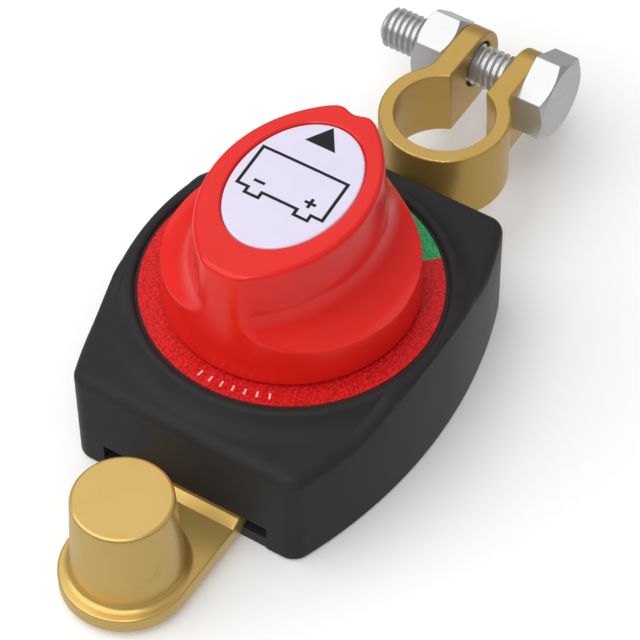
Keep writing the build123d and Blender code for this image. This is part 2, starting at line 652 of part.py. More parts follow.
def oval(half_length, half_width, z0, z1, x=0.0):
    """Upright elliptical prism."""
    return Pos(x, 0, z0) * extrude(Ellipse(half_length, half_width), z1 - z0)


def knob_hollows():
    """Room under the skirt and inside the handle."""
    skirt = cylinder(KNOB_SKIRT_R - KNOB_WALL, KNOB_BOTTOM_Z - PAST, SCOOP_FLOOR_Z - KNOB_WALL)
    half_x = KNOB_TOP_R - KNOB_WALL
    half_y = HANDLE_MID_HALF - 2 * KNOB_WALL
    return skirt + oval(half_x, half_y, SCOOP_FLOOR_Z - HANDLE_HOLLOW_DOWN, OVAL_FLOOR_Z - HANDLE_ROOF_T)


def knob():
    """Moulded handle with a hollow skirt, a hub with a square socket and an oval label recess."""
    body = knob_outside()
    body = fillet([e for e in body.edges() if is_handle_edge(e)], KNOB_EDGE_R)
    notch_x = KNOB_TOP_R - NOTCH_DEPTH + NOTCH_R
    body -= cylinder(NOTCH_R, KNOB_TOP_Z - NOTCH_HEIGHT, KNOB_TOP_Z + PAST, notch_x)
    recess_length = OVAL_LENGTH + OVAL_GAP
    recess_width = OVAL_WIDTH + OVAL_GAP
    body -= oval(recess_length, recess_width, OVAL_FLOOR_Z, KNOB_TOP_Z + PAST, OVAL_X)
    body -= knob_hollows()
    body += cylinder(HUB_R, KNOB_BOTTOM_Z, OVAL_FLOOR_Z - HUB_UNDER_LABEL) & knob_outside()
    below = KNOB_BOTTOM_Z - PAST
    body -= cylinder(JOURNAL_R + HOLE_PLAY, below, KNOB_BOTTOM_Z + JOURNAL_INTO_KNOB)
    wide = 2 * (STEM_HALF + SOCKET_PLAY)
    socket = RectangleRounded(wide, wide, STEM_CORNER_R)
    body -= Pos(0, 0, below) * extrude(socket, STEM_TOP_Z - below)
    body -= cylinder(KNOB_SCREW_R + HOLE_PLAY, STEM_TOP_Z - PAST, KNOB_TOP_Z)
    return body - cylinder(KNOB_SCREW_HEAD_R + HEAD_ROOM, KNOB_SEAT_Z, KNOB_TOP_Z)


def is_handle_edge(edge):
    """True for the handle's top edges, its four corner ridges and the two creases of the skirt."""
    box = edge.bounding_box()
    top = box.min.Z > KNOB_TOP_Z - TOUCH
    ridge = box.size.Z > SCOOP_R - 10 * TOUCH and box.min.Z > SCOOP_FLOOR_Z - 10 * TOUCH
    return top or ridge


def knob_label():
    """Domed oval label, level with the handle's top in the middle."""
    plain = oval(OVAL_LENGTH, OVAL_WIDTH, OVAL_FLOOR_Z, OVAL_FLOOR_Z + OVAL_T, OVAL_X)
    return fillet(plain.edges().sort_by(Axis.Z)[-1], OVAL_T * OVAL_ROUND)


def knob_screw():
    z_head = KNOB_SEAT_Z + KNOB_WASHER_T
    z_tip = z_head - KNOB_SCREW_LENGTH + PAST
    head = cylinder(KNOB_SCREW_HEAD_R, z_head, z_head + KNOB_SCREW_HEAD_T)
    shank = cylinder(KNOB_SCREW_R - KNOB_SCREW_PLAY, z_tip, z_head + JOIN)
    hexagon = extrude(RegularPolygon(SCREW_HEX_R, 6), KNOB_SCREW_HEAD_T)
    return head + shank - Pos(0, 0, z_head + SCREW_HEX_FLOOR) * hexagon


def screw_washer():
    z1 = KNOB_SEAT_Z + KNOB_WASHER_T
    return ring(KNOB_SCREW_R + KNOB_WASHER_PLAY, KNOB_SCREW_HEAD_R + KNOB_WASHER_EDGE, KNOB_SEAT_Z, z1)


def bevelled_hexagon(flats, depth, both_ends, turn=0.0):
    """Hexagonal prism along Z from 0, its corners cut by a shallow cone as on a turned bolt head."""
    corner_r = flats / math.cos(math.radians(30)) / 2
    plain = extrude(RegularPolygon(corner_r, 6, rotation=30 + turn), depth)
    flat_r = flats / 2 * FLAT_SHARE
    far = corner_r + PAST
    drop = HEX_CHAMFER / (corner_r - flat_r) * (far - flat_r)
    high = [(0, depth), (flat_r, depth), (far, depth - drop)]
    low = [(far, drop), (flat_r, 0), (0, 0)] if both_ends else [(far, 0), (0, 0)]
    outline = high + low
    return plain & revolve(Plane.XZ * make_face(Polyline(*outline, close=True)), Axis.Z)


def along_y(shape, y, outward):
    """Turn a Z part to lie along Y on the bolt's axis, its base at y, pointing outward."""
    turn = Rot(-90, 0, 0) if outward > 0 else Rot(90, 0, 0)
    return Pos(BOLT_X, y, BOLT_Z) * turn * shape


def clamp_bolt():
    """Hex bolt: head outside the -Y ear, plain cylinder at the thread's outer diameter."""
    head = bevelled_hexagon(HEAD_FLATS, HEAD_T, False)
    shank = cylinder(BOLT_R, 0, BOLT_LENGTH)
    shank = chamfer(shank.edges().sort_by(Axis.Z)[-1], TIP_CHAMFER)
    return along_y(head, -EAR_OUT_Y, -1) + along_y(shank, -EAR_OUT_Y, 1)


def clamp_nut():
    nut = bevelled_hexagon(NUT_FLATS, NUT_T, True, NUT_TURN)
    nut -= cylinder(BOLT_R + THREAD_PLAY, -PAST, NUT_T + PAST)
    return along_y(nut, EAR_OUT_Y, 1)


NODES = {
    "housing_cover": housing_cover,
    "base_plate": base_plate,
    "side_gaskets": side_gaskets,
    "base_screws": base_screws,
    "post_terminal": post_terminal,
    "clamp_terminal": clamp_terminal,
    "post_contact": lambda: contact(-1),
    "clamp_contact": lambda: contact(1),
    "dial_label": dial_label,
    "detent_spring_front": lambda: detent_spring(-1),
    "detent_spring_back": lambda: detent_spring(1),
    "thrust_washer": thrust_washer,
    "rotor": rotor,
    "shaft_seal": shaft_seal,
    "contact_bridge": contact_bridge,
    "contact_spring": contact_spring,
    "knob": knob,
    "knob_label": knob_label,
    "knob_screw": knob_screw,
    "screw_washer": screw_washer,
    "clamp_bolt": clamp_bolt,
    "clamp_nut": clamp_nut,
}

os.makedirs("parts", exist_ok=True)
for node, make in NODES.items():
    export_step(make(), f"parts/{node}.step")
    print("wrote", node)
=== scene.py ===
# %% [markdown]
# # A battery isolator switch
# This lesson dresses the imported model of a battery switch: a moulded housing, a red knob with a
# domed label, a printed dial, a brass post at one end and a brass clamp with its bolt at the
# other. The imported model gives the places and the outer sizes. Each piece below is drawn in
# millimetres with bmesh operators, then brought to metres where it stands.

# %% Load the frame
import math

import bmesh
import bpy
from mathutils import Matrix, Vector


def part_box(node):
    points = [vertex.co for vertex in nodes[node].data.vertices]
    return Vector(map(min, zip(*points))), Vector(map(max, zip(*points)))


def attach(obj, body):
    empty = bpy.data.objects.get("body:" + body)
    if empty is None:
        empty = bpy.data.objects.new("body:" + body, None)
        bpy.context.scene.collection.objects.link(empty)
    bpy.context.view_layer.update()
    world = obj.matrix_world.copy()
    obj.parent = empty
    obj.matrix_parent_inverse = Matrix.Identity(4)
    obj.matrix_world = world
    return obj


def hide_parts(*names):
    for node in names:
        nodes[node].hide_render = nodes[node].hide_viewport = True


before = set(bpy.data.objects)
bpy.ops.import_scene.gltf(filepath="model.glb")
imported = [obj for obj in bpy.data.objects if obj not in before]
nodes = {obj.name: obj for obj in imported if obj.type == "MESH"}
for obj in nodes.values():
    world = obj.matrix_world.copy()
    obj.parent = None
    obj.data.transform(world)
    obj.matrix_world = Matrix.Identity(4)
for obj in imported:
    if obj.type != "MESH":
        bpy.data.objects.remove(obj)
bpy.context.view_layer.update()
MM = 0.001


# %% Sizes read from the frame
def span(node):
    """Lowest and highest corner of a CAD node, in millimetres."""
    low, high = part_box(node)
    return low / MM, high / MM


_, cover_high = span("housing_cover")
knob_low, knob_high = span("knob")
label_low, label_high = span("knob_label")
dial_low, dial_high = span("dial_label")
post_low, post_high = span("post_terminal")
clamp_low, clamp_high = span("clamp_terminal")
bolt_low, bolt_high = span("clamp_bolt")
nut_low, nut_high = span("clamp_nut")
print("knob top", round(knob_high.z, 2), "mm, dial", round(dial_high.z, 2), "mm")

# %% [markdown]
# ## The camera
# The switch is seen from above and from the post's end, with a long lens, so parallel edges stay
# almost parallel. The camera's three axes are worked out from two angles and a slight roll.

# %% Camera
TURN_ANGLE = math.radians(-57.242)
TILT_ANGLE = math.radians(50.54)
ROLL_ANGLE = math.radians(-0.694)
CAMERA_DISTANCE = 0.5629
CAMERA_AIM = Vector((0.01289, 0.00261, 0.0))
LENS = 175.56

back = Vector((
    math.sin(TURN_ANGLE) * math.cos(TILT_ANGLE),
    -math.cos(TURN_ANGLE) * math.cos(TILT_ANGLE),
    math.sin(TILT_ANGLE),
))
level = Vector((math.cos(TURN_ANGLE), math.sin(TURN_ANGLE), 0.0))
upward = back.cross(level)
right = math.cos(ROLL_ANGLE) * level + math.sin(ROLL_ANGLE) * upward
upward = back.cross(right)

camera_data = bpy.data.cameras.new("camera")
camera_data.lens = LENS
camera_data.sensor_width = 36.0
camera = bpy.data.objects.new("camera", camera_data)
camera.matrix_world = Matrix.Translation(CAMERA_AIM + back * CAMERA_DISTANCE) @ Matrix(
    (right, upward, back)
).transposed().to_4x4()
bpy.context.scene.collection.objects.link(camera)
bpy.context.scene.camera = camera
bpy.context.scene.view_settings.view_transform = "Standard"
print("camera at", [round(v, 3) for v in camera.location])

# %% [markdown]
# ## Writing materials as expressions
# A finish is a small graph of nodes. `Value` wraps one socket, so that sums and products of values
# read as ordinary Python, and `Finish` makes any other node from its type, its settings and what
# goes into its sockets.


# %% Values and finishes
class Value:
    """One output socket. Arithmetic on it adds Math nodes to its tree."""

    def __init__(self, socket):
        self.socket = socket
        self.tree = socket.id_data

    def math(self, operation, first, second=None, clamp=False):
        node = self.tree.nodes.new("ShaderNodeMath")
        node.operation = operation
        node.use_clamp = clamp
        for slot, item in zip(node.inputs, (first, second)):
            plug(self.tree, slot, item)
        return Value(node.outputs[0])

    def __add__(self, other):
        return self.math("ADD", self, other)

    def __radd__(self, other):
        return self.math("ADD", other, self)

    def __sub__(self, other):
        return self.math("SUBTRACT", self, other)

    def __rsub__(self, other):
        return self.math("SUBTRACT", other, self)

    def __mul__(self, other):
        return self.math("MULTIPLY", self, other)

    def __rmul__(self, other):
        return self.math("MULTIPLY", other, self)

    def __abs__(self):
        return self.math("ABSOLUTE", self)

    def clamped(self):
        return self.math("ADD", self, 0.0, clamp=True)

    def at_least(self, other):
        return self.math("MAXIMUM", self, other)


def plug(tree, slot, item):
    """Put a number, a colour or another node's output into a socket."""
    if item is None:
        return
    if isinstance(item, Value):
        tree.links.new(item.socket, slot)
    elif hasattr(item, "__len__") and len(item) == 3 and slot.type == "RGBA":
        slot.default_value = (*item, 1.0)
    else:
        slot.default_value = item


class Finish:
    """A node graph under construction, for a material or for the sky."""

    def __init__(self, owner):
        self.owner = owner
        self.owner.use_nodes = True
        self.tree = self.owner.node_tree
        self.tree.nodes.clear()

    def node(self, kind, settings=None, sockets=None, output=0):
        made = self.tree.nodes.new(kind)
        for key, setting in (settings or {}).items():
            setattr(made, key, setting)
        for key, item in (sockets or {}).items():
            plug(self.tree, made.inputs[key], item)
        return Value(made.outputs[output]) if made.outputs else None

    def place(self):
        """Object coordinates: metres in the switch's own frame."""
        return self.node("ShaderNodeTexCoord", output="Object")

    def axes(self):
        """X, Y and Z of the place, in millimetres."""
        split = self.node("ShaderNodeSeparateXYZ", sockets={"Vector": self.place()})
        outs = split.socket.node.outputs
        return [Value(outs[k]) * 1000.0 for k in range(3)]

    def noise(self, size_mm, detail=3.0, stretch=(1.0, 1.0, 1.0)):
        """Noise from 0 to 1 with grains of about that size; stretch draws it out along an axis."""
        scale = tuple(1.0 / s for s in stretch)
        spot = self.node("ShaderNodeMapping", sockets={"Vector": self.place(), "Scale": scale})
        sockets = {"Vector": spot, "Scale": 1000.0 / size_mm, "Detail": detail}
        return self.node("ShaderNodeTexNoise", sockets=sockets)

    def mix(self, factor, first, second):
        return self.node(
            "ShaderNodeMix",
            {"data_type": "RGBA"},
            {0: factor, 6: first, 7: second},
            output=2,
        )

    def bump(self, height, strength, depth_mm):
        sockets = {"Height": height, "Strength": strength, "Distance": depth_mm * MM}
        return self.node("ShaderNodeBump", sockets=sockets)

    def finish(self, **sockets):
        """Close the graph with a Principled shader. Underscores in names stand for spaces."""
        named = {key.replace("_", " "): item for key, item in sockets.items()}
        surface = self.node("ShaderNodeBsdfPrincipled", sockets=named)
        self.node("ShaderNodeOutputMaterial", sockets={"Surface": surface})
        return self.owner


# %% [markdown]
# ## Moulded plastic
# The housing, the base and the knob come out of steel tools with a fine spark-eroded texture. A
# fine noise drives the bump, and a slow one varies the roughness, because handling polishes some
# patches more than others.


# %% Plastics
def moulded(name, dark, light, rough, grain_mm=0.12, grain=0.25, **extra):
    f = Finish(bpy.data.materials.new(name))
    patches = f.noise(9.0, 2.0)
    fine = f.noise(grain_mm, 2.0)
    colour = f.mix((patches * 0.8 + fine * 0.2).clamped(), dark, light)
    roughness = patches * 0.12 + fine * 0.06 + (rough - 0.09)
    normal = f.bump(fine, grain, 0.02)
    return f.finish(Base_Color=colour, Roughness=roughness, Normal=normal, **extra)


housing_black = moulded(
    "housing_black", (0.026, 0.026, 0.027), (0.036, 0.036, 0.037), 0.36, Specular_IOR_Level=0.05
)
plate_black = moulded(
    "plate_black", (0.018, 0.018, 0.019), (0.028, 0.028, 0.029), 0.6, Specular_IOR_Level=0.3
)
knob_red = moulded(
    "knob_red", (0.70, 0.011, 0.007), (0.81, 0.016, 0.011), 0.22, 0.2, 0.06,
    Specular_IOR_Level=0.36,
)
nylon = moulded("nylon", (0.62, 0.58, 0.48), (0.72, 0.68, 0.58), 0.5)
slip_white = moulded("slip_white", (0.74, 0.74, 0.72), (0.84, 0.84, 0.82), 0.4)
seal_rubber = moulded("seal_rubber", (0.015, 0.015, 0.015), (0.03, 0.03, 0.03), 0.7)
print("plastics made")

# %% [markdown]
# ## Metals
# The terminals are cast brass, cleaned and lightly polished, so fine marks run in no fixed
# direction and a slow stain shifts the tone. The bolt and the nut are zinc plated: brighter, and
# with a faint cloudiness.


# %% Metals
def metal(name, first, second, rough, mark_mm=0.15, marks=0.12, stretch=(1.0, 1.0, 1.0)):
    f = Finish(bpy.data.materials.new(name))
    stain = f.noise(6.0, 3.0)
    fine = f.noise(mark_mm, 3.0, stretch)
    colour = f.mix(stain, first, second)
    roughness = stain * 0.08 + fine * 0.10 + (rough - 0.09)
    normal = f.bump(fine, marks, 0.01)
    return f.finish(Base_Color=colour, Metallic=0.6, Roughness=roughness, Normal=normal)


brass = metal("brass", (0.60, 0.405, 0.118), (0.67, 0.46, 0.146), 0.30)
cast_brass = metal("cast_brass", (0.53, 0.335, 0.080), (0.59, 0.38, 0.103), 0.34)
zinc = metal("zinc", (0.50, 0.505, 0.515), (0.60, 0.605, 0.61), 0.24)
silver = metal("silver", (0.82, 0.80, 0.76), (0.90, 0.88, 0.84), 0.2)
copper = metal("copper", (0.78, 0.40, 0.26), (0.86, 0.48, 0.32), 0.3, stretch=(8.0, 1.0, 1.0))
spring_steel = metal("spring_steel", (0.42, 0.42, 0.44), (0.55, 0.55, 0.56), 0.3)
print("metals made")

# %% [markdown]
# ## The dial's print
# The dial is a printed disc: a red ground with a glittering grain, and a green quarter on the side
# where the handle's pointer rests when the switch is on. The quarter's two straight borders are
# the lines x = y and x = -y. A short scale of pale ticks stands near the housing's near edge.

# %% Dial print
TICK_COUNT = 7
TICK_STEP = math.radians(5.0)
TICK_MIDDLE = math.radians(-171.0)
TICK_INNER, TICK_OUTER = 24.0, 25.3
TICK_HALF = 0.16


def dial_finish():
    f = Finish(bpy.data.materials.new("dial_print"))
    x, y, _ = f.axes()
    grain = f.noise(0.42, 3.0)
    sharp = ((grain - 0.5) * 3.0 + 0.5).clamped()
    sparkle = f.noise(0.22, 1.0)
    red = f.mix(sharp, (0.40, 0.004, 0.006), (0.78, 0.018, 0.018))
    green = f.mix(sharp, (0.012, 0.26, 0.075), (0.045, 0.46, 0.15))
    quarter = ((x - abs(y)) * 8.0 + 0.5).clamped()
    ground = f.mix(quarter, red, green)
    ticks = None
    for k in range(TICK_COUNT):
        angle = TICK_MIDDLE + (k - (TICK_COUNT - 1) / 2) * TICK_STEP
        along = x * math.cos(angle) + y * math.sin(angle)
        across = abs(y * math.cos(angle) - x * math.sin(angle))
        line = ((TICK_HALF - across) * 12.0 + 0.5).clamped()
        reach = ((along - TICK_INNER) * 12.0).clamped() * ((TICK_OUTER - along) * 12.0).clamped()
        tick = line * reach
        ticks = tick if ticks is None else ticks.at_least(tick)
    colour = f.mix(ticks * 0.75, ground, (0.82, 0.72, 0.72))
    roughness = grain * 0.30 + 0.30
    normal = f.bump(grain * 0.6 + sparkle * 0.4, 0.8, 0.06)
    return f.finish(Base_Color=colour, Roughness=roughness, Normal=normal, Specular_IOR_Level=0.2)


dial_print = dial_finish()
print("dial print made")

# %% [markdown]
# ## The oval's print
# The knob's label shows a battery in outline, its two terminals marked with a minus and a plus,
# and a solid pointer towards the clamp. Each mark is a product of soft steps in x and y, so it
# stays sharp at any distance. A clear resin dome covers the print, which the coat stands for.

# %% Oval print
LINE = 0.62  # width of the printed lines, in millimetres
SOFT = 14.0  # how steeply a printed edge falls, per millimetre
SKEW = 0.06  # the artwork was laid on a little askew


def oval_finish():
    f = Finish(bpy.data.materials.new("oval_print"))
    x, y, _ = f.axes()
    y = y - (x + 3.4) * SKEW

    def bar(x0, x1, y0, y1):
        """1 inside a rectangle, 0 outside."""
        in_x = ((x - x0) * SOFT + 0.5).clamped() * ((x1 - x) * SOFT + 0.5).clamped()
        return in_x * ((y - y0) * SOFT + 0.5).clamped() * ((y1 - y) * SOFT + 0.5).clamped()

    def battery(inset):
        case = bar(-3.4 + inset, 6.2 - inset, -8.65 + inset, 8.65 - inset)
        for middle in (-4.8, 4.8):
            reach = 1.65 - inset
            case = case.at_least(bar(-4.7 + inset, 0.0, middle - reach, middle + reach))
        return case

    outline = (battery(0.0) - battery(LINE)).clamped()
    minus = bar(-1.25 - LINE / 2, -1.25 + LINE / 2, 3.9, 6.1)
    plus = bar(-0.9 - LINE / 2, -0.9 + LINE / 2, -5.9, -3.7)
    plus = plus.at_least(bar(-2.0, 0.2, -4.8 - LINE / 2, -4.8 + LINE / 2))
    slope = (15.6 - x) * (3.0 / 4.8) - abs(y)
    pointer = ((x - 10.8) * SOFT + 0.5).clamped() * (slope * SOFT + 0.5).clamped()
    ink = outline.at_least(minus).at_least(plus).at_least(pointer)
    cloud = f.noise(7.0, 2.0)
    paper = f.mix(cloud, (0.70, 0.66, 0.82), (0.76, 0.72, 0.86))
    colour = f.mix(ink, paper, (0.006, 0.006, 0.008))
    roughness = cloud * 0.05 + 0.16
    return f.finish(
        Base_Color=colour, Roughness=roughness, Specular_IOR_Level=0.1,
        Coat_Weight=0.25, Coat_Roughness=0.05,
    )


oval_print = oval_finish()
print("oval print made")

# %% [markdown]
# ## Helpers for rings
# Most of these pieces are a ring of points that is extruded again and again, each time put a
# little further along the piece's wall. `grow` does one such step.


# %% Ring helpers
def first_ring(bm, places):
    """A closed ring of vertices at the given places, started from a circle."""
    ring = list(bmesh.ops.create_circle(bm, segments=len(places), radius=1.0)["verts"])
    for vert, place in zip(ring, places):
        vert.co = place
    return ring


def grow(bm, ring, places):
    """Extrude a ring once and put the new vertices at the given places."""
    count = len(ring)
    edges = [bm.edges.get((ring[k], ring[(k + 1) % count])) for k in range(count)]
    made = bmesh.ops.extrude_edge_only(bm, edges=edges)["geom"]
    fresh = {v for v in made if isinstance(v, bmesh.types.BMVert)}
    following = []
    for vert, place in zip(ring, places):
        new = next(e.other_vert(vert) for e in vert.link_edges if e.other_vert(vert) in fresh)
        new.co = place
        following.append(new)
    return following


def cap(bm, ring):
    """Close a ring with one flat face."""
    count = len(ring)
    edges = [bm.edges.get((ring[k], ring[(k + 1) % count])) for k in range(count)]
    bmesh.ops.edgeloop_fill(bm, edges=edges)


def smooth_by_angle(bm, limit=35.0):
    """Shade smooth, but keep edges sharper than the limit crisp."""
    for face in bm.faces:
        face.smooth = True
    for edge in bm.edges:
        edge.smooth = edge.calc_face_angle(0.0) < math.radians(limit)


def piece(name, bm, material, body, replaced, limit=35.0):
    """Turn a mesh in millimetres into a finished piece in metres, riding on its body."""
    bmesh.ops.remove_doubles(bm, verts=bm.verts, dist=0.0005)
    bmesh.ops.recalc_face_normals(bm, faces=bm.faces)
    smooth_by_angle(bm, limit)
    bmesh.ops.scale(bm, vec=(MM, MM, MM), verts=bm.verts)
    mesh = bpy.data.meshes.new(name)
    bm.to_mesh(mesh)
    bm.free()
    mesh.materials.append(material)
    obj = bpy.data.objects.new(name, mesh)
    bpy.context.scene.collection.objects.link(obj)
    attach(obj, body)
    if replaced:
        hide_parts(*replaced)
    even = obj.modifiers.new("even_shading", "WEIGHTED_NORMAL")
    even.keep_sharp = True
    open_edges = sum(1 for k in edge_uses(mesh).values() if k != 2)
    print(name, len(mesh.polygons), "faces,", open_edges, "open edges")
    return obj


def edge_uses(mesh):
    """How many faces use each edge."""
    uses = {}
    for polygon in mesh.polygons:
        for key in polygon.edge_keys:
            uses[key] = uses.get(key, 0) + 1
    return uses


# %% [markdown]
# ## The knob
# The handle is a plain cone from which two scoops have been taken, one on each side. Seen from
# above, each scoop's wall is an arc, so the handle is leaf shaped. Going down, the wall flares out
# in a quarter circle until it meets the skirt. At each height the outline is the smaller of the
# cone's radius and the scoop's, and blending the two softly rounds the ridges between them.

# %% Knob sizes
KNOB_POINTS = 480
TOP_R = 21.3
SKIRT_R = (knob_high.x - knob_low.x) / 2
TIP_HALF = 3.5
MID_HALF = 14.1
SCOOP_FLOOR = 32.6
SCOOP_R = 8.0
SCOOP_FLARE = 0.5
EDGE_R = 1.0
RIDGE_BLEND = 0.8
NOTCH_DEPTH = 0.9
NOTCH_HALF = 3.2
NOTCH_REACH, NOTCH_FADE = 9.0, 6.0  # how far down the notch runs, and over what height it fades in
SKIRT_EDGE_R = 0.8
SKIRT_INNER_R, HUB_R = 20.3, 8.4
SKIRT_ROOF = 2.4  # the hollow ends this far under the scoops' floor
HUB_SHORT = 0.4
LIP_DEPTH, LIP_FLARE = 0.2, 0.25  # small bevel where the handle's top meets the label's recess
OVAL_X = (label_low.x + label_high.x) / 2
OVAL_A = (label_high.x - label_low.x) / 2
OVAL_B = (label_high.y - label_low.y) / 2
OVAL_GAP = 0.18
KNOB_TOP, KNOB_BOTTOM = knob_high.z, knob_low.z

bow_r = (TOP_R**2 - TIP_HALF**2 + (MID_HALF - TIP_HALF) ** 2) / (2 * (MID_HALF - TIP_HALF))
bow_y = bow_r - MID_HALF
knob_angles = [math.tau * k / KNOB_POINTS for k in range(KNOB_POINTS)]
print("handle's side arcs have a radius of", round(bow_r, 1), "mm")


# %% Knob outline at one height
def soft_min(a, b, blend):
    """The smaller of two lengths, with a round change from one to the other."""
    share = max(blend - abs(a - b), 0.0) / blend
    return min(a, b) - share * share * blend / 4


def cone_r(z):
    return SKIRT_R + (TOP_R - SKIRT_R) * (z - KNOB_BOTTOM) / (KNOB_TOP - KNOB_BOTTOM)


def scoop_r(angle, wall_r):
    """Distance from the knob's axis to a scoop's wall of radius wall_r about its own centre."""
    side = abs(math.sin(angle))
    root = wall_r**2 - (bow_y * math.cos(angle)) ** 2
    return math.sqrt(max(root, 0.0)) - bow_y * side


def knob_r(angle, z, wall_r):
    return soft_min(cone_r(z), scoop_r(angle, wall_r), RIDGE_BLEND)


def notch(angle, r, z):
    """How far the pointing end is hollowed at this place."""
    y = r * math.sin(angle)
    if math.cos(angle) < 0 or abs(y) > NOTCH_HALF:
        return 0.0
    fade = min(max((z - (KNOB_TOP - NOTCH_REACH)) / NOTCH_FADE, 0.0), 1.0)
    return NOTCH_DEPTH * math.cos(y / NOTCH_HALF * math.pi / 2) ** 2 * fade * fade * (3 - 2 * fade)


def knob_ring(z, wall_r, inset=0.0):
    """Places of one ring on the knob's outside."""
    places = []
    for angle in knob_angles:
        r = knob_r(angle, z, wall_r) - inset
        r -= notch(angle, r, z)
        places.append(Vector((r * math.cos(angle), r * math.sin(angle), z)))
    return places


def oval_ring(z, grow_by):
    a, b = OVAL_A + grow_by, OVAL_B + grow_by
    places = []
    for angle in knob_angles:
        r = a * b / math.hypot(b * math.cos(angle), a * math.sin(angle))
        places.append(Vector((OVAL_X + r * math.cos(angle), r * math.sin(angle), z)))
    return places


def between(first, second, share):
    return [a.lerp(b, share) for a, b in zip(first, second)]


# %% Knob
def build_knob():
    bm = bmesh.new()
    crest = knob_ring(KNOB_TOP, bow_r, EDGE_R)
    lip = oval_ring(KNOB_TOP, OVAL_GAP + LIP_FLARE)
    ring = first_ring(bm, oval_ring(label_low.z, OVAL_GAP))
    cap(bm, ring)
    ring = grow(bm, ring, oval_ring(KNOB_TOP - LIP_DEPTH, OVAL_GAP))
    ring = grow(bm, ring, lip)
    for share in (0.3, 0.65, 1.0):
        ring = grow(bm, ring, between(lip, crest, share))
    steps = 8
    for k in range(1, steps + 1):
        lean = math.pi / 2 * k / steps
        drop = EDGE_R * (1 - math.cos(lean))
        pull = EDGE_R * (1 - math.sin(lean))
        ring = grow(bm, ring, knob_ring(KNOB_TOP - drop, bow_r, pull))
    foot_z = SCOOP_FLOOR + SCOOP_R
    wall_from = KNOB_TOP - EDGE_R
    for k in range(1, 9):
        share = k / 8
        z = wall_from + (foot_z - wall_from) * share
        ring = grow(bm, ring, knob_ring(z, bow_r + SCOOP_FLARE * share))
    arc_steps = 28
    for k in range(1, arc_steps + 1):
        lean = math.pi / 2 * k / arc_steps
        wall = bow_r + SCOOP_FLARE + SCOOP_R * (1 - math.cos(lean))
        ring = grow(bm, ring, knob_ring(foot_z - SCOOP_R * math.sin(lean), wall))
    far = bow_r + 3 * SCOOP_R
    for drop in (0.25, 0.7, 1.6, 3.6):
        ring = grow(bm, ring, knob_ring(SCOOP_FLOOR - drop, far))
    ring = grow(bm, ring, knob_ring(KNOB_BOTTOM + SKIRT_EDGE_R, far))
    for k in range(1, 5):
        lean = math.pi / 2 * k / 4
        pull = SKIRT_EDGE_R * (1 - math.cos(lean))
        rise = SKIRT_EDGE_R * (1 - math.sin(lean))
        ring = grow(bm, ring, knob_ring(KNOB_BOTTOM + rise, far, pull))
    ceiling = SCOOP_FLOOR - SKIRT_ROOF
    hollow = [
        (SKIRT_INNER_R, KNOB_BOTTOM), (SKIRT_INNER_R, ceiling),
        (HUB_R, ceiling), (HUB_R, KNOB_BOTTOM + HUB_SHORT),
    ]
    for r, z in hollow:
        ring = grow(bm, ring, [Vector((r * math.cos(a), r * math.sin(a), z)) for a in knob_angles])
    cap(bm, ring)
    return piece("knob_handle", bm, knob_red, "knob", ["knob"])


build_knob()

# %% [markdown]
# ## The domed label
# The oval label is a printed film under a drop of clear resin. Surface tension draws the resin up
# in the middle and rounds it at the rim, so the rings rise in a quarter circle and then flatten.


# %% Oval label
DOME_RIM_R = 0.42
DOME_RISE = 0.1


def build_oval():
    bm = bmesh.new()
    base, top = label_low.z, label_high.z
    ring = first_ring(bm, oval_ring(base, 0.0))
    cap(bm, ring)
    ring = grow(bm, ring, oval_ring(top - DOME_RIM_R - DOME_RISE, 0.0))
    for k in range(1, 7):
        lean = math.pi / 2 * k / 6
        drop = DOME_RISE + DOME_RIM_R * (1 - math.sin(lean))
        ring = grow(bm, ring, oval_ring(top - drop, -DOME_RIM_R * (1 - math.cos(lean))))
    rim_ring = oval_ring(top, -DOME_RIM_R)
    centre = [Vector((OVAL_X, 0.0, top))] * KNOB_POINTS
    for share in (0.2, 0.4, 0.6, 0.8, 0.95):
        rise = DOME_RISE * (1 - (1 - share) ** 2)
        places = between(rim_ring, centre, share)
        ring = grow(bm, ring, [Vector((p.x, p.y, top - DOME_RISE + rise)) for p in places])
    cap(bm, ring)
    return piece("oval_label", bm, oval_print, "knob", ["knob_label"])


build_oval()

# %% [markdown]
# ## The printed dial
# A flat ring lies in the housing's round seat. It only needs soft edges.

# %% Dial
ROUND_POINTS = 256
DIAL_HOLE_R = 11.4
DIAL_EDGE = 0.08
round_angles = [math.tau * k / ROUND_POINTS for k in range(ROUND_POINTS)]


def circle(r, z, x=0.0):
    return [Vector((x + r * math.cos(a), r * math.sin(a), z)) for a in round_angles]


def build_dial():
    bm = bmesh.new()
    outer, low, high = dial_high.x, dial_low.z, dial_high.z
    ring = first_ring(bm, circle(DIAL_HOLE_R, high))
    start = ring
    bevel = [(outer - DIAL_EDGE, high), (outer, high - DIAL_EDGE)]
    for r, z in bevel + [(outer, low), (DIAL_HOLE_R, low)]:
        ring = grow(bm, ring, circle(r, z))
    bridge(bm, ring, start)
    return piece("dial", bm, dial_print, "housing", ["dial_label"], limit=25.0)


def bridge(bm, first, second):
    """Join two rings of the same length with a band of faces."""
    count = len(first)
    loops = []
    for ring in (first, second):
        loops += [bm.edges.get((ring[k], ring[(k + 1) % count])) for k in range(count)]
    bmesh.ops.bridge_loops(bm, edges=loops)


build_dial()

# %% [markdown]
# ## The housing
# The cover is one moulding. Its plan has straight ends and bowed sides with rounded corners. From
# the flat corners the top swells softly up to a round bead, which guards the dial's edge. Where
# the side bows out it comes close to the bead, so the top edge's rounding gets smaller there.

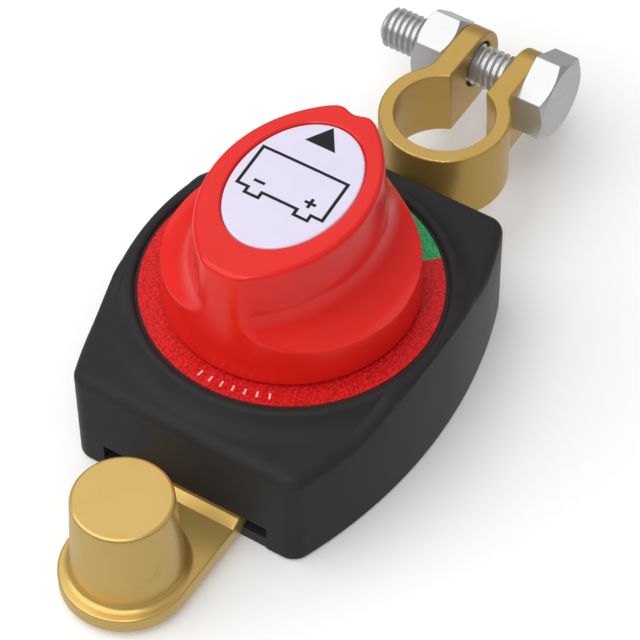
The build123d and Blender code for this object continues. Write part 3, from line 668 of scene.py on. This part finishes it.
# %% Housing sizes
COVER_POINTS = 640
HALF_LENGTH = cover_high.x
MID_WIDTH = cover_high.y
END_WIDTH = 22.3
CORNER_R = 2.1
TOP_Z = 21.9
BEAD_R = 28.1
BEAD_TUBE = 1.0
BEAD_Z = cover_high.z
SWELL_R = 33.0
SEAT_R = 27.1
DECK_Z = dial_low.z
TOP_EDGE_R = 2.3
COVER_WALL = 2.5
SLOT_HALF = 16.7
SLOT_TOP = 5.9
FOOT_SHARE = 0.9  # the swell meets the bead at this share of the tube's radius
SWELL_POWER = 2.2
FOOT_BEVEL = 0.4
SHAFT_BORE_R, SHAFT_TUBE_R, SHAFT_TUBE_Z = 9.0, 11.4, 16.6
SLOT_DEPTH, PAST = 5.0, 1.0  # how far a slot's cutter reaches in, and how far it stands proud
cover_angles = [math.tau * k / COVER_POINTS for k in range(COVER_POINTS)]
side_r = (HALF_LENGTH**2 + (MID_WIDTH - END_WIDTH) ** 2) / (2 * (MID_WIDTH - END_WIDTH))


# %% Housing outline
def outline_depth(x, y):
    """How deep a point lies inside the housing's outline; negative outside."""
    x, y = abs(x), abs(y)
    to_end = HALF_LENGTH - x
    to_side = side_r - math.hypot(x, y + side_r - MID_WIDTH)
    if to_end > CORNER_R or to_side > CORNER_R:
        return min(to_end, to_side)
    return CORNER_R - math.hypot(CORNER_R - to_end, CORNER_R - to_side)


def outline_r(angle, inset):
    """Distance from the middle to the outline, pulled in by inset, found by halving."""
    low, high = 0.0, 60.0
    for _ in range(40):
        mid = (low + high) / 2
        if outline_depth(mid * math.cos(angle), mid * math.sin(angle)) > inset:
            low = mid
        else:
            high = mid
    return low


def top_z(r):
    """Height of the top at a distance from the middle: flat, then the swell, then the bead."""
    foot = BEAD_R + BEAD_TUBE * FOOT_SHARE
    if r >= SWELL_R:
        return TOP_Z
    if r <= foot:
        side = min(abs(r - BEAD_R), BEAD_TUBE)
        return BEAD_Z - BEAD_TUBE + math.sqrt(BEAD_TUBE**2 - side**2)
    share = (SWELL_R - r) / (SWELL_R - foot)
    foot_z = BEAD_Z - BEAD_TUBE + math.sqrt(BEAD_TUBE**2 - (BEAD_TUBE * FOOT_SHARE) ** 2)
    return TOP_Z + (foot_z - TOP_Z) * share**SWELL_POWER


def edge_radius(angle):
    """Rounding of the top edge: smaller where the side comes close to the bead."""
    room = outline_r(angle, 0.0) - BEAD_R
    return min(TOP_EDGE_R, room)


cover_outline = [outline_r(a, 0.0) for a in cover_angles]
cover_edge = [edge_radius(a) for a in cover_angles]
print("housing outline:", round(min(cover_outline), 2), "to", round(max(cover_outline), 2), "mm")


# %% Housing rings
def cover_ring(inset, z):
    """A ring at a fixed inset from the outline."""
    places = []
    for angle in cover_angles:
        r = outline_r(angle, inset)
        places.append(Vector((r * math.cos(angle), r * math.sin(angle), z)))
    return places


def edge_ring(lean):
    """A ring on the rounded top edge. lean runs from 0 on the wall to a quarter turn on top."""
    places = []
    for angle, e in zip(cover_angles, cover_edge):
        r = outline_r(angle, e * (1 - math.cos(lean)))
        top = top_z(outline_r(angle, e))
        z = top - e * (1 - math.sin(lean))
        places.append(Vector((r * math.cos(angle), r * math.sin(angle), z)))
    return places


def top_ring(share):
    """A ring on top, between the rounded edge and the foot of the bead."""
    foot = BEAD_R + BEAD_TUBE * FOOT_SHARE
    places = []
    for angle, e in zip(cover_angles, cover_edge):
        edge = outline_r(angle, e)
        r = edge + (min(foot, edge) - edge) * share
        places.append(Vector((r * math.cos(angle), r * math.sin(angle), top_z(r))))
    return places


def bead_ring(turn):
    """A ring round the bead's tube, from its foot over the crest and down inside."""
    places = []
    for angle, e in zip(cover_angles, cover_edge):
        edge = outline_r(angle, e)
        r = min(BEAD_R + BEAD_TUBE * math.cos(turn), edge)
        places.append(Vector((r * math.cos(angle), r * math.sin(angle), top_z(r))))
    return places


def cover_circle(r, z):
    return [Vector((r * math.cos(a), r * math.sin(a), z)) for a in cover_angles]


# %% Housing
def build_cover():
    bm = bmesh.new()
    inner_top = TOP_Z - COVER_WALL
    ring = first_ring(bm, cover_ring(COVER_WALL, 0.0))
    start = ring
    ring = grow(bm, ring, cover_ring(FOOT_BEVEL, 0.0))
    ring = grow(bm, ring, cover_ring(0.0, FOOT_BEVEL))
    for z in (4.0, 10.0, 16.0):
        ring = grow(bm, ring, cover_ring(0.0, z))
    for k in range(0, 9):
        ring = grow(bm, ring, edge_ring(math.pi / 2 * k / 8))
    for k in range(1, 15):
        ring = grow(bm, ring, top_ring(k / 14))
    first_turn = math.acos(FOOT_SHARE)
    last_turn = math.pi - math.asin((DECK_Z + 0.1 - (BEAD_Z - BEAD_TUBE)) / BEAD_TUBE)
    for k in range(1, 13):
        ring = grow(bm, ring, bead_ring(first_turn + (last_turn - first_turn) * k / 12))
    ring = grow(bm, ring, cover_circle(SEAT_R, DECK_Z))
    ring = grow(bm, ring, cover_circle(SHAFT_BORE_R, DECK_Z))
    ring = grow(bm, ring, cover_circle(SHAFT_BORE_R, SHAFT_TUBE_Z))
    ring = grow(bm, ring, cover_circle(SHAFT_TUBE_R, SHAFT_TUBE_Z))
    ring = grow(bm, ring, cover_circle(SHAFT_TUBE_R, inner_top))
    ring = grow(bm, ring, cover_ring(COVER_WALL, inner_top))
    bridge(bm, ring, start)
    return bm


def box_object(low, high):
    """A plain box between two corners, used only to cut with."""
    bm = bmesh.new()
    bmesh.ops.create_cube(bm, size=1.0)
    size = Vector(high) - Vector(low)
    bmesh.ops.scale(bm, vec=size, verts=bm.verts)
    bmesh.ops.translate(bm, vec=(Vector(high) + Vector(low)) / 2, verts=bm.verts)
    return to_object(bm)


def to_object(bm):
    mesh = bpy.data.meshes.new("tool")
    bmesh.ops.recalc_face_normals(bm, faces=bm.faces)
    bm.to_mesh(mesh)
    bm.free()
    obj = bpy.data.objects.new("tool", mesh)
    bpy.context.scene.collection.objects.link(obj)
    return obj


def carve(bm, tools, operation="DIFFERENCE"):
    """Cut, join or intersect a mesh with other solids, and give back the resulting mesh."""
    work = to_object(bm)
    for tool in tools:
        modifier = work.modifiers.new("carve", "BOOLEAN")
        modifier.object = tool
        modifier.operation = operation
        modifier.solver = "EXACT"
    bpy.context.view_layer.update()
    evaluated = work.evaluated_get(bpy.context.evaluated_depsgraph_get())
    result = bmesh.new()
    result.from_mesh(evaluated.to_mesh())
    evaluated.to_mesh_clear()
    for obj in (work, *tools):
        bpy.data.objects.remove(obj)
    return result


slot_in, slot_out = HALF_LENGTH - SLOT_DEPTH, HALF_LENGTH + PAST
cover_bm = carve(build_cover(), [
    box_object((slot_in, -SLOT_HALF, -PAST), (slot_out, SLOT_HALF, SLOT_TOP)),
    box_object((-slot_out, -SLOT_HALF, -PAST), (-slot_in, SLOT_HALF, SLOT_TOP)),
])
piece("cover", cover_bm, housing_black, "housing", ["housing_cover"], 40.0)

# %% [markdown]
# ## The post and its tongue
# The post is cast in one with a flat tongue that runs under the housing. Its flanks taper by one
# in nine, as on every lead-acid battery, with a small round at the foot and a bevel at the top.
# The tongue's outline and the post above it are one run of rings, so the piece needs no Boolean.

# %% Post sizes
POST_X = -51.6
POST_TOP_R = 8.75
POST_BASE_R = 9.75
POST_HEIGHT = 18.0
TONGUE_R = 11.5
TONGUE_X = post_low.x + TONGUE_R  # middle of the tongue's round end
TONGUE_T, BAR_T = 3.4, 4.4
TONGUE_LOW, TONGUE_TOP = post_low.z, post_low.z + TONGUE_T
BAR_TOP = post_low.z + BAR_T
RAMP_FROM, RAMP_TO = -36.9, -35.1
SHOULDER_X, SHOULDER_HALF = -28.7, 9.0  # from here inwards the bar is narrower
TONGUE_END = -10.6
FOOT_R = 1.3
TOP_BEVEL = 0.55
PLATE_BEVEL = 0.45


# %% Post and tongue
def tongue_r(angle, inset):
    """Outline about the tongue's round end: round outside, then straight, then narrower."""
    along, aside = math.cos(angle), max(abs(math.sin(angle)), 1e-6)
    if along <= 0:
        return TONGUE_R - inset
    wide = min((TONGUE_R - inset) / aside, (SHOULDER_X - inset - TONGUE_X) / along)
    narrow = min((SHOULDER_HALF - inset) / aside, (TONGUE_END - inset - TONGUE_X) / along)
    return max(wide, narrow)


def tongue_angles():
    """Even angles, with the nearest ones moved onto the outline's corners."""
    angles = list(round_angles)
    corners = [(SHOULDER_X, TONGUE_R), (SHOULDER_X, SHOULDER_HALF), (TONGUE_END, SHOULDER_HALF)]
    for x, y in corners + [(x, -y) for x, y in corners]:
        corner = math.atan2(y, x - TONGUE_X)
        near = min(angles, key=lambda a: abs(math.remainder(a - corner, 2 * math.pi)))
        angles[angles.index(near)] = corner
    return angles


def tongue_ring(inset, z):
    places = []
    for a in tongue_angles():
        r = tongue_r(a, inset)
        places.append(Vector((TONGUE_X + r * math.cos(a), r * math.sin(a), z)))
    return places


def build_post():
    bm = bmesh.new()
    ring = first_ring(bm, tongue_ring(PLATE_BEVEL, TONGUE_LOW))
    cap(bm, ring)
    ring = grow(bm, ring, tongue_ring(0.0, TONGUE_LOW + PLATE_BEVEL))
    ring = grow(bm, ring, tongue_ring(0.0, TONGUE_TOP - PLATE_BEVEL))
    for k in range(1, 5):
        lean = math.pi / 2 * k / 4
        inset = PLATE_BEVEL * (1 - math.cos(lean))
        ring = grow(bm, ring, tongue_ring(inset, TONGUE_TOP - PLATE_BEVEL * (1 - math.sin(lean))))
    for k in range(0, 7):
        lean = math.pi / 2 * k / 6
        r = POST_BASE_R + FOOT_R * (1 - math.sin(lean))
        ring = grow(bm, ring, circle(r, TONGUE_TOP + FOOT_R * (1 - math.cos(lean)), POST_X))
    top = post_high.z
    neck_r = POST_TOP_R + (POST_BASE_R - POST_TOP_R) * TOP_BEVEL / POST_HEIGHT
    ring = grow(bm, ring, circle(neck_r, top - TOP_BEVEL, POST_X))
    ring = grow(bm, ring, circle(neck_r - TOP_BEVEL * 0.35, top - TOP_BEVEL * 0.3, POST_X))
    ring = grow(bm, ring, circle(POST_TOP_R - TOP_BEVEL, top, POST_X))
    cap(bm, ring)
    for x in (RAMP_FROM, RAMP_TO):
        everything = list(bm.verts) + list(bm.edges) + list(bm.faces)
        bmesh.ops.bisect_plane(
            bm, geom=everything, dist=1e-4, plane_co=(x, 0, 0), plane_no=(1, 0, 0)
        )
    for vert in bm.verts:
        share = min(max((vert.co.x - RAMP_FROM) / (RAMP_TO - RAMP_FROM), 0.0), 1.0)
        if vert.co.z > (TONGUE_LOW + TONGUE_TOP) / 2:
            vert.co.z += share * (BAR_TOP - TONGUE_TOP)
    return bm


piece("post", build_post(), brass, "housing", ["post_terminal"], 18.0)

# %% [markdown]
# ## The clamp
# The clamp is a cast brass ring, split on its outer side, with two ears that the bolt draws
# together. It is built the way a foundry pattern is: whole blocks first, standing a little proud
# above and below, then trimmed to the side view, and last the bore, the slit and the bolt's hole
# are taken out. Trimming once at the end leaves the top one clean flat face.

# %% Clamp sizes
CLAMP_X = 51.5
BORE_TOP_R, BORE_LOW_R = 9.2, 10.055
RING_R = 12.1
RING_LOW, RING_TOP = clamp_high.z - 15.4, clamp_high.z
EAR_IN, EAR_OUT = 3.8, 8.2
EAR_R = 7.7
EAR_END_X = clamp_high.x - EAR_R
EAR_MID_Z = RING_LOW + EAR_R
BLEND_R = 4.0
BOLT_HOLE_R = 4.5
BOLT_X = (bolt_low.x + bolt_high.x) / 2
BOLT_Z = (bolt_low.z + bolt_high.z) / 2
CLAMP_BEVEL = 0.45
NECK_IN, NECK_LEAN, NECK_OUT = 35.5, 39.4, 42.3  # its foot, its top's near side, its far side
NECK_HALF, NECK_HEIGHT, NECK_BEVEL = 8.0, 9.4, 0.5
print("ring from", round(RING_LOW, 2), "to", round(RING_TOP, 2), "mm, bolt at", round(BOLT_X, 2))


# %% Solids to cut and join with
def drum(r0, r1, z0, z1, x=0.0, y=0.0, segments=160):
    """Upright cylinder or cone between two heights."""
    bm = bmesh.new()
    bmesh.ops.create_cone(
        bm, cap_ends=True, segments=segments, radius1=r0, radius2=r1, depth=z1 - z0
    )
    bmesh.ops.translate(bm, vec=(x, y, (z0 + z1) / 2), verts=bm.verts)
    return bm


def lay_along_y(bm, x, z):
    """Turn a solid so that its Z points along +Y, and put it on an axis at x and z."""
    turn = Matrix.Rotation(-math.pi / 2, 3, "X")
    bmesh.ops.rotate(bm, cent=(0, 0, 0), matrix=turn, verts=bm.verts)
    bmesh.ops.translate(bm, vec=(x, 0, z), verts=bm.verts)
    return bm


def crisp_edges(bm, angle):
    """Edges sharper than an angle in degrees."""
    return [e for e in bm.edges if e.calc_face_angle(0.0) > math.radians(angle)]


# %% Clamp body
def build_clamp():
    under, over = RING_LOW - 1.0, RING_TOP + 1.0
    reach = math.sqrt((RING_R + BLEND_R) ** 2 - (EAR_OUT + BLEND_R) ** 2)
    share = RING_R / (RING_R + BLEND_R)
    touch_x, touch_y = CLAMP_X + reach * share, (EAR_OUT + BLEND_R) * share
    web = box_object((touch_x, -touch_y, under), (CLAMP_X + reach, touch_y, over))
    ears = box_object((CLAMP_X, -EAR_OUT, under), (clamp_high.x + 1, EAR_OUT, over))
    bm = carve(drum(RING_R, RING_R, under, over, CLAMP_X), [web, ears], "UNION")
    blends = []
    for side_y in (-EAR_OUT - BLEND_R, EAR_OUT + BLEND_R):
        round_bm = drum(BLEND_R, BLEND_R, under - 1, over + 1, CLAMP_X + reach, side_y, 72)
        blends.append(to_object(round_bm))
    bm = carve(bm, blends)
    end = to_object(lay_along_y(drum(EAR_R, EAR_R, -20, 20), EAR_END_X, EAR_MID_Z))
    flat = box_object((CLAMP_X - 20, -20, RING_LOW), (EAR_END_X, 20, RING_TOP))
    side = carve(to_bmesh(end), [flat], "UNION")
    bm = carve(bm, [to_object(side)], "INTERSECT")
    rise = (BORE_LOW_R - BORE_TOP_R) / (RING_TOP - RING_LOW)
    bore_bm = drum(BORE_LOW_R + rise, BORE_TOP_R - rise, RING_LOW - 1, RING_TOP + 1, CLAMP_X)
    bore = to_object(bore_bm)
    slit = box_object((CLAMP_X, -EAR_IN, RING_LOW - 1), (clamp_high.x + 2, EAR_IN, RING_TOP + 1))
    hole_bm = drum(BOLT_HOLE_R, BOLT_HOLE_R, -12, 12, segments=72)
    hole = to_object(lay_along_y(hole_bm, BOLT_X, BOLT_Z))
    return carve(bm, [bore, slit, hole])


def to_bmesh(obj):
    bm = bmesh.new()
    bm.from_mesh(obj.data)
    bpy.data.objects.remove(obj)
    return bm


clamp_bm = build_clamp()
bmesh.ops.remove_doubles(clamp_bm, verts=clamp_bm.verts, dist=0.002)
bmesh.ops.dissolve_limit(
    clamp_bm, angle_limit=math.radians(0.5), verts=clamp_bm.verts, edges=clamp_bm.edges
)
print("clamp:", len(clamp_bm.faces), "faces before its edges are rounded")

# %% Clamp edges, neck and bar
bmesh.ops.bevel(
    clamp_bm, geom=crisp_edges(clamp_bm, 35), offset=CLAMP_BEVEL, offset_type="OFFSET",
    segments=3, profile=0.5, affect="EDGES", clamp_overlap=False, material=-1,
)


def build_neck():
    """The foot that carries the ring: a block whose housing side leans towards the bar."""
    foot, top = clamp_low.z, clamp_low.z + NECK_HEIGHT
    bm = to_bmesh(box_object((NECK_IN, -NECK_HALF, foot), (NECK_OUT, NECK_HALF, top)))
    for vert in bm.verts:
        if vert.co.z > (foot + top) / 2 and vert.co.x < NECK_LEAN:
            vert.co.x = NECK_LEAN
    upright = [e for e in bm.edges if abs(e.verts[0].co.y - e.verts[1].co.y) < 0.01]
    bmesh.ops.bevel(
        bm, geom=upright, offset=NECK_BEVEL, offset_type="OFFSET",
        segments=3, profile=0.5, affect="EDGES", material=-1,
    )
    return bm


bar_low, bar_top = clamp_low.z, clamp_low.z + BAR_T
BAR_LAP = 0.8  # the bar's narrow block runs this far into its wide one
wide_out, narrow_out = -RAMP_TO, -SHOULDER_X + BAR_LAP
bar = [
    box_object((-SHOULDER_X, -TONGUE_R, bar_low), (wide_out, TONGUE_R, bar_top)),
    box_object((-TONGUE_END, -SHOULDER_HALF, bar_low), (narrow_out, SHOULDER_HALF, bar_top)),
]
neck_bm = carve(build_neck(), bar, "UNION")
neck_bm = carve(neck_bm, [to_object(drum(BORE_LOW_R, BORE_LOW_R, -1, 12, CLAMP_X))])
clamp_bm = carve(clamp_bm, [to_object(neck_bm)], "UNION")
clamp = piece("clamp", clamp_bm, cast_brass, "housing", ["clamp_terminal"], 30.0)

# %% [markdown]
# ## The bolt
# A hexagon head is forged, and its corners are then turned off by a shallow cone. The thread is a
# real helix: one pitch of its profile is spun about the axis and moved along as it goes, so that
# each turn's end meets the next turn's start. The tip is chamfered by limiting the radius there.

# %% Bolt sizes
BOLT_R = 4.0
PITCH = 1.25
ROOT_R = BOLT_R - 0.61 * PITCH
HEAD_FLATS = 14.8
HEAD_T = 5.7
TIP_CHAMFER, TIP_SLOPE = 1.4, 1.2
TURN_STEPS = 40
THREAD_PLAY = 0.02
THREAD_MARKS = (0.0, 0.18, 0.46, 0.62, 0.90, 1.0)  # shares of a pitch where the profile turns
HEX_BEVEL, HEX_FACE_SHARE, HEX_DROP = 0.22, 0.96, 0.9
bolt_length = bolt_high.y - bolt_low.y - HEAD_T
print("bolt", round(bolt_length, 1), "mm long under its head")


# %% Hexagons
def turned(profile, steps=160):
    """A solid turned about Z from points of (radius, height) that start and end on the axis."""
    bm = bmesh.new()
    verts = [bm.verts.new((r, 0.0, z)) for r, z in profile]
    edges = [bm.edges.new(pair) for pair in zip(verts, verts[1:])]
    bmesh.ops.spin(
        bm, geom=verts + edges, cent=(0, 0, 0), axis=(0, 0, 1), dvec=(0, 0, 0),
        angle=math.tau, steps=steps, use_merge=True, use_duplicate=False,
    )
    bmesh.ops.remove_doubles(bm, verts=bm.verts, dist=1e-5)
    return bm


def hexagon(flats, depth, both_ends, turn=0.0):
    """Hexagonal prism on Z from 0, its corners turned off at one end or both."""
    corner_r = flats / 2 / math.cos(math.pi / 6)
    start = -0.5 if both_ends else 0.0
    bm = drum(corner_r, corner_r, start, depth + 0.5, segments=6)
    upright = [e for e in bm.edges if abs(e.verts[0].co.z - e.verts[1].co.z) > depth / 2]
    bmesh.ops.bevel(
        bm, geom=upright, offset=HEX_BEVEL, offset_type="OFFSET",
        segments=3, profile=0.5, affect="EDGES", material=-1,
    )
    spin = Matrix.Rotation(math.radians(turn), 3, "Z")
    bmesh.ops.rotate(bm, cent=(0, 0, 0), matrix=spin, verts=bm.verts)
    flat_r = flats / 2 * HEX_FACE_SHARE
    far = corner_r + 1.0
    drop = HEX_DROP / (corner_r - flat_r) * (far - flat_r)
    low = [(0.0, 0.0), (flat_r, 0.0), (far, drop)] if both_ends else [(0.0, -1.0), (far, -1.0)]
    high = [(far, depth - drop), (flat_r, depth), (0.0, depth)]
    return carve(bm, [to_object(turned(low + high))], "INTERSECT")


# %% Thread
def thread_profile(bm, major, root):
    """One pitch of an M thread in the XZ plane: root flat, flank, crest flat, flank."""
    radii = (root, root, major, major, root, root)
    verts = [bm.verts.new((r, 0.0, h * PITCH)) for r, h in zip(radii, THREAD_MARKS)]
    edges = [bm.edges.new(pair) for pair in zip(verts, verts[1:])]
    return verts + edges


def threaded_rod(length, major, root):
    """A rod on Z from 0 to its length, threaded all the way."""
    bm = bmesh.new()
    turns = math.ceil(length / PITCH) + 2
    steps = TURN_STEPS * turns
    bmesh.ops.spin(
        bm, geom=thread_profile(bm, major, root), cent=(0, 0, 0), axis=(0, 0, 1),
        dvec=(0, 0, PITCH / TURN_STEPS), angle=math.tau * turns, steps=steps,
        use_merge=False, use_duplicate=False,
    )
    bmesh.ops.remove_doubles(bm, verts=bm.verts, dist=0.002)
    bmesh.ops.translate(bm, vec=(0, 0, -PITCH * 1.5), verts=bm.verts)
    for z, out in ((0.0, -1), (length, 1)):
        everything = list(bm.verts) + list(bm.edges) + list(bm.faces)
        bmesh.ops.bisect_plane(
            bm, geom=everything, dist=1e-5, plane_co=(0, 0, z), plane_no=(0, 0, out),
            clear_outer=True,
        )
        open_edges = [e for e in bm.edges if e.is_boundary]
        rim = [e for e in open_edges if all(abs(v.co.z - z) < 1e-3 for v in e.verts)]
        bmesh.ops.holes_fill(bm, edges=rim, sides=0)
    for vert in bm.verts:
        limit = major - TIP_CHAMFER + TIP_SLOPE * (length - vert.co.z)
        r = math.hypot(vert.co.x, vert.co.y)
        if r > limit:
            vert.co.x *= limit / r
            vert.co.y *= limit / r
    return bm


# %% Bolt
def build_bolt():
    rod_bm = threaded_rod(bolt_length, BOLT_R - THREAD_PLAY, ROOT_R)
    head = hexagon(HEAD_FLATS, HEAD_T, False)
    flip = Matrix.Rotation(math.pi, 3, "X")
    bmesh.ops.rotate(head, cent=(0, 0, 0), matrix=flip, verts=head.verts)
    bmesh.ops.translate(head, vec=(0, 0, 0.001), verts=head.verts)
    bm = join(rod_bm, head)
    bmesh.ops.translate(bm, vec=(0, 0, bolt_low.y + HEAD_T), verts=bm.verts)
    return lay_along_y(bm, BOLT_X, BOLT_Z)


def join(first, second):
    """Put a second mesh beside the first in one bmesh."""
    mesh = bpy.data.meshes.new("part")
    second.to_mesh(mesh)
    second.free()
    first.from_mesh(mesh)
    bpy.data.meshes.remove(mesh)
    return first


piece("bolt", build_bolt(), zinc, "bolt", ["clamp_bolt"], 28.0)

# %% [markdown]
# ## The nut
# The nut has its corners turned off at both ends, and a small countersink leads into its hole.

# %% Nut
NUT_FLATS = 13.0
NUT_TURN = 12.5
NUT_PLAY = 0.05
SINK_OUT, SINK_DEPTH = 1.6, 0.6  # the countersink: how far it opens, how deep it goes


def build_nut():
    depth = nut_high.y - nut_low.y
    bm = hexagon(NUT_FLATS, depth, True, NUT_TURN)
    hole_r = BOLT_R + NUT_PLAY
    sink_r = hole_r + SINK_OUT
    tools = [
        to_object(drum(hole_r, hole_r, -1, depth + 1, segments=96)),
        to_object(drum(sink_r, hole_r, -1, SINK_DEPTH, segments=96)),
        to_object(drum(hole_r, sink_r, depth - SINK_DEPTH, depth + 1, segments=96)),
    ]
    bm = carve(bm, tools)
    bmesh.ops.translate(bm, vec=(0, 0, nut_low.y), verts=bm.verts)
    return lay_along_y(bm, BOLT_X, BOLT_Z)


piece("nut", build_nut(), zinc, "nut", ["clamp_nut"], 28.0)

# %% [markdown]
# ## The parts that stay as packed
# The working parts inside, the base and its screws already have their real shapes. They only need
# their finishes, which are given to the slots of their own objects.

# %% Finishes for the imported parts
packed_finishes = {
    "base_plate": plate_black,
    "side_gaskets": seal_rubber,
    "base_screws": zinc,
    "post_contact": silver,
    "clamp_contact": silver,
    "contact_bridge": copper,
    "contact_spring": spring_steel,
    "detent_spring_front": spring_steel,
    "detent_spring_back": spring_steel,
    "thrust_washer": slip_white,
    "rotor": nylon,
    "shaft_seal": seal_rubber,
    "knob_screw": zinc,
    "screw_washer": zinc,
}
replaced_finishes = {
    "housing_cover": housing_black,
    "post_terminal": brass,
    "clamp_terminal": cast_brass,
    "dial_label": dial_print,
    "knob": knob_red,
    "knob_label": oval_print,
    "clamp_bolt": zinc,
    "clamp_nut": zinc,
}
for name, finish in {**packed_finishes, **replaced_finishes}.items():
    obj = nodes[name]
    if not obj.material_slots:
        obj.data.materials.append(finish)
    for material_slot in obj.material_slots:
        material_slot.material = finish
left_over = set(nodes) - set(packed_finishes) - set(replaced_finishes)
print(len(packed_finishes), "packed parts keep their shape; missing:", left_over)

# %% [markdown]
# ## The stage
# A pale floor, a broad key lamp, a smaller panel and a small glint. The lamps stand well apart,
# because brass and zinc show the gaps between lamps as darker bands, and those bands are what
# makes metal look like metal.


# %% Floor and lamps
def build_floor():
    bm = bmesh.new()
    bmesh.ops.create_grid(bm, x_segments=8, y_segments=8, size=3.0)
    bmesh.ops.translate(bm, vec=(0, 0, -0.0002), verts=bm.verts)
    mesh = bpy.data.meshes.new("floor")
    bm.to_mesh(mesh)
    bm.free()
    f = Finish(bpy.data.materials.new("floor_paper"))
    cloud = f.noise(60.0, 2.0)
    paper = f.mix(cloud, (0.93, 0.93, 0.93), (0.95, 0.95, 0.95))
    mesh.materials.append(f.finish(
        Base_Color=paper, Roughness=0.9, Emission_Color=(1.0, 1.0, 1.0), Emission_Strength=0.07
    ))
    floor = bpy.data.objects.new("floor", mesh)
    bpy.context.scene.collection.objects.link(floor)
    floor.visible_glossy = False  # mirrored at a glance, the paper would wash out the dark walls
    return floor


def lamp(name, place, aim, width, height, power):
    """A rectangular soft lamp that faces a point."""
    data = bpy.data.lights.new(name, "AREA")
    data.shape = "RECTANGLE"
    data.size, data.size_y = width, height
    data.energy = power
    obj = bpy.data.objects.new(name, data)
    toward = Vector(aim) - Vector(place)
    turn = toward.to_track_quat("-Z", "Y").to_matrix().to_4x4()
    obj.matrix_world = Matrix.Translation(place) @ turn
    bpy.context.scene.collection.objects.link(obj)
    return obj


floor = build_floor()
lamp("key", (-0.42, 0.30, 0.85), (0, 0, 0.02), 1.3, 1.3, 8.8)
lamp("panel", (0.53, 0.34, 0.77), (0, 0, 0.02), 0.7, 0.7, 0.8)
lamp("glint", (-0.62, -0.42, 0.90), (0, 0, 0.02), 0.25, 0.25, 1.2)
print("lamps placed")


# %% Sky
def studio_sky():
    """Darkest at the horizon, so that upright metal shows a band there."""
    f = Finish(bpy.data.worlds.new("studio"))
    outward = f.node("ShaderNodeTexCoord", output="Generated")
    split = f.node("ShaderNodeSeparateXYZ", sockets={"Vector": outward})
    height = Value(split.socket.node.outputs["Z"])
    above = f.mix((height * 1.6).clamped(), (0.16, 0.16, 0.165), (0.50, 0.50, 0.50))
    shade = f.mix((height * -2.5).clamped(), above, (0.66, 0.65, 0.64))
    glow = f.node("ShaderNodeBackground", sockets={"Color": shade, "Strength": 1.0})
    f.node("ShaderNodeOutputWorld", sockets={"Surface": glow})
    return f.owner


bpy.context.scene.world = studio_sky()

# %% Bring the scene up to date
bpy.context.view_layer.update()
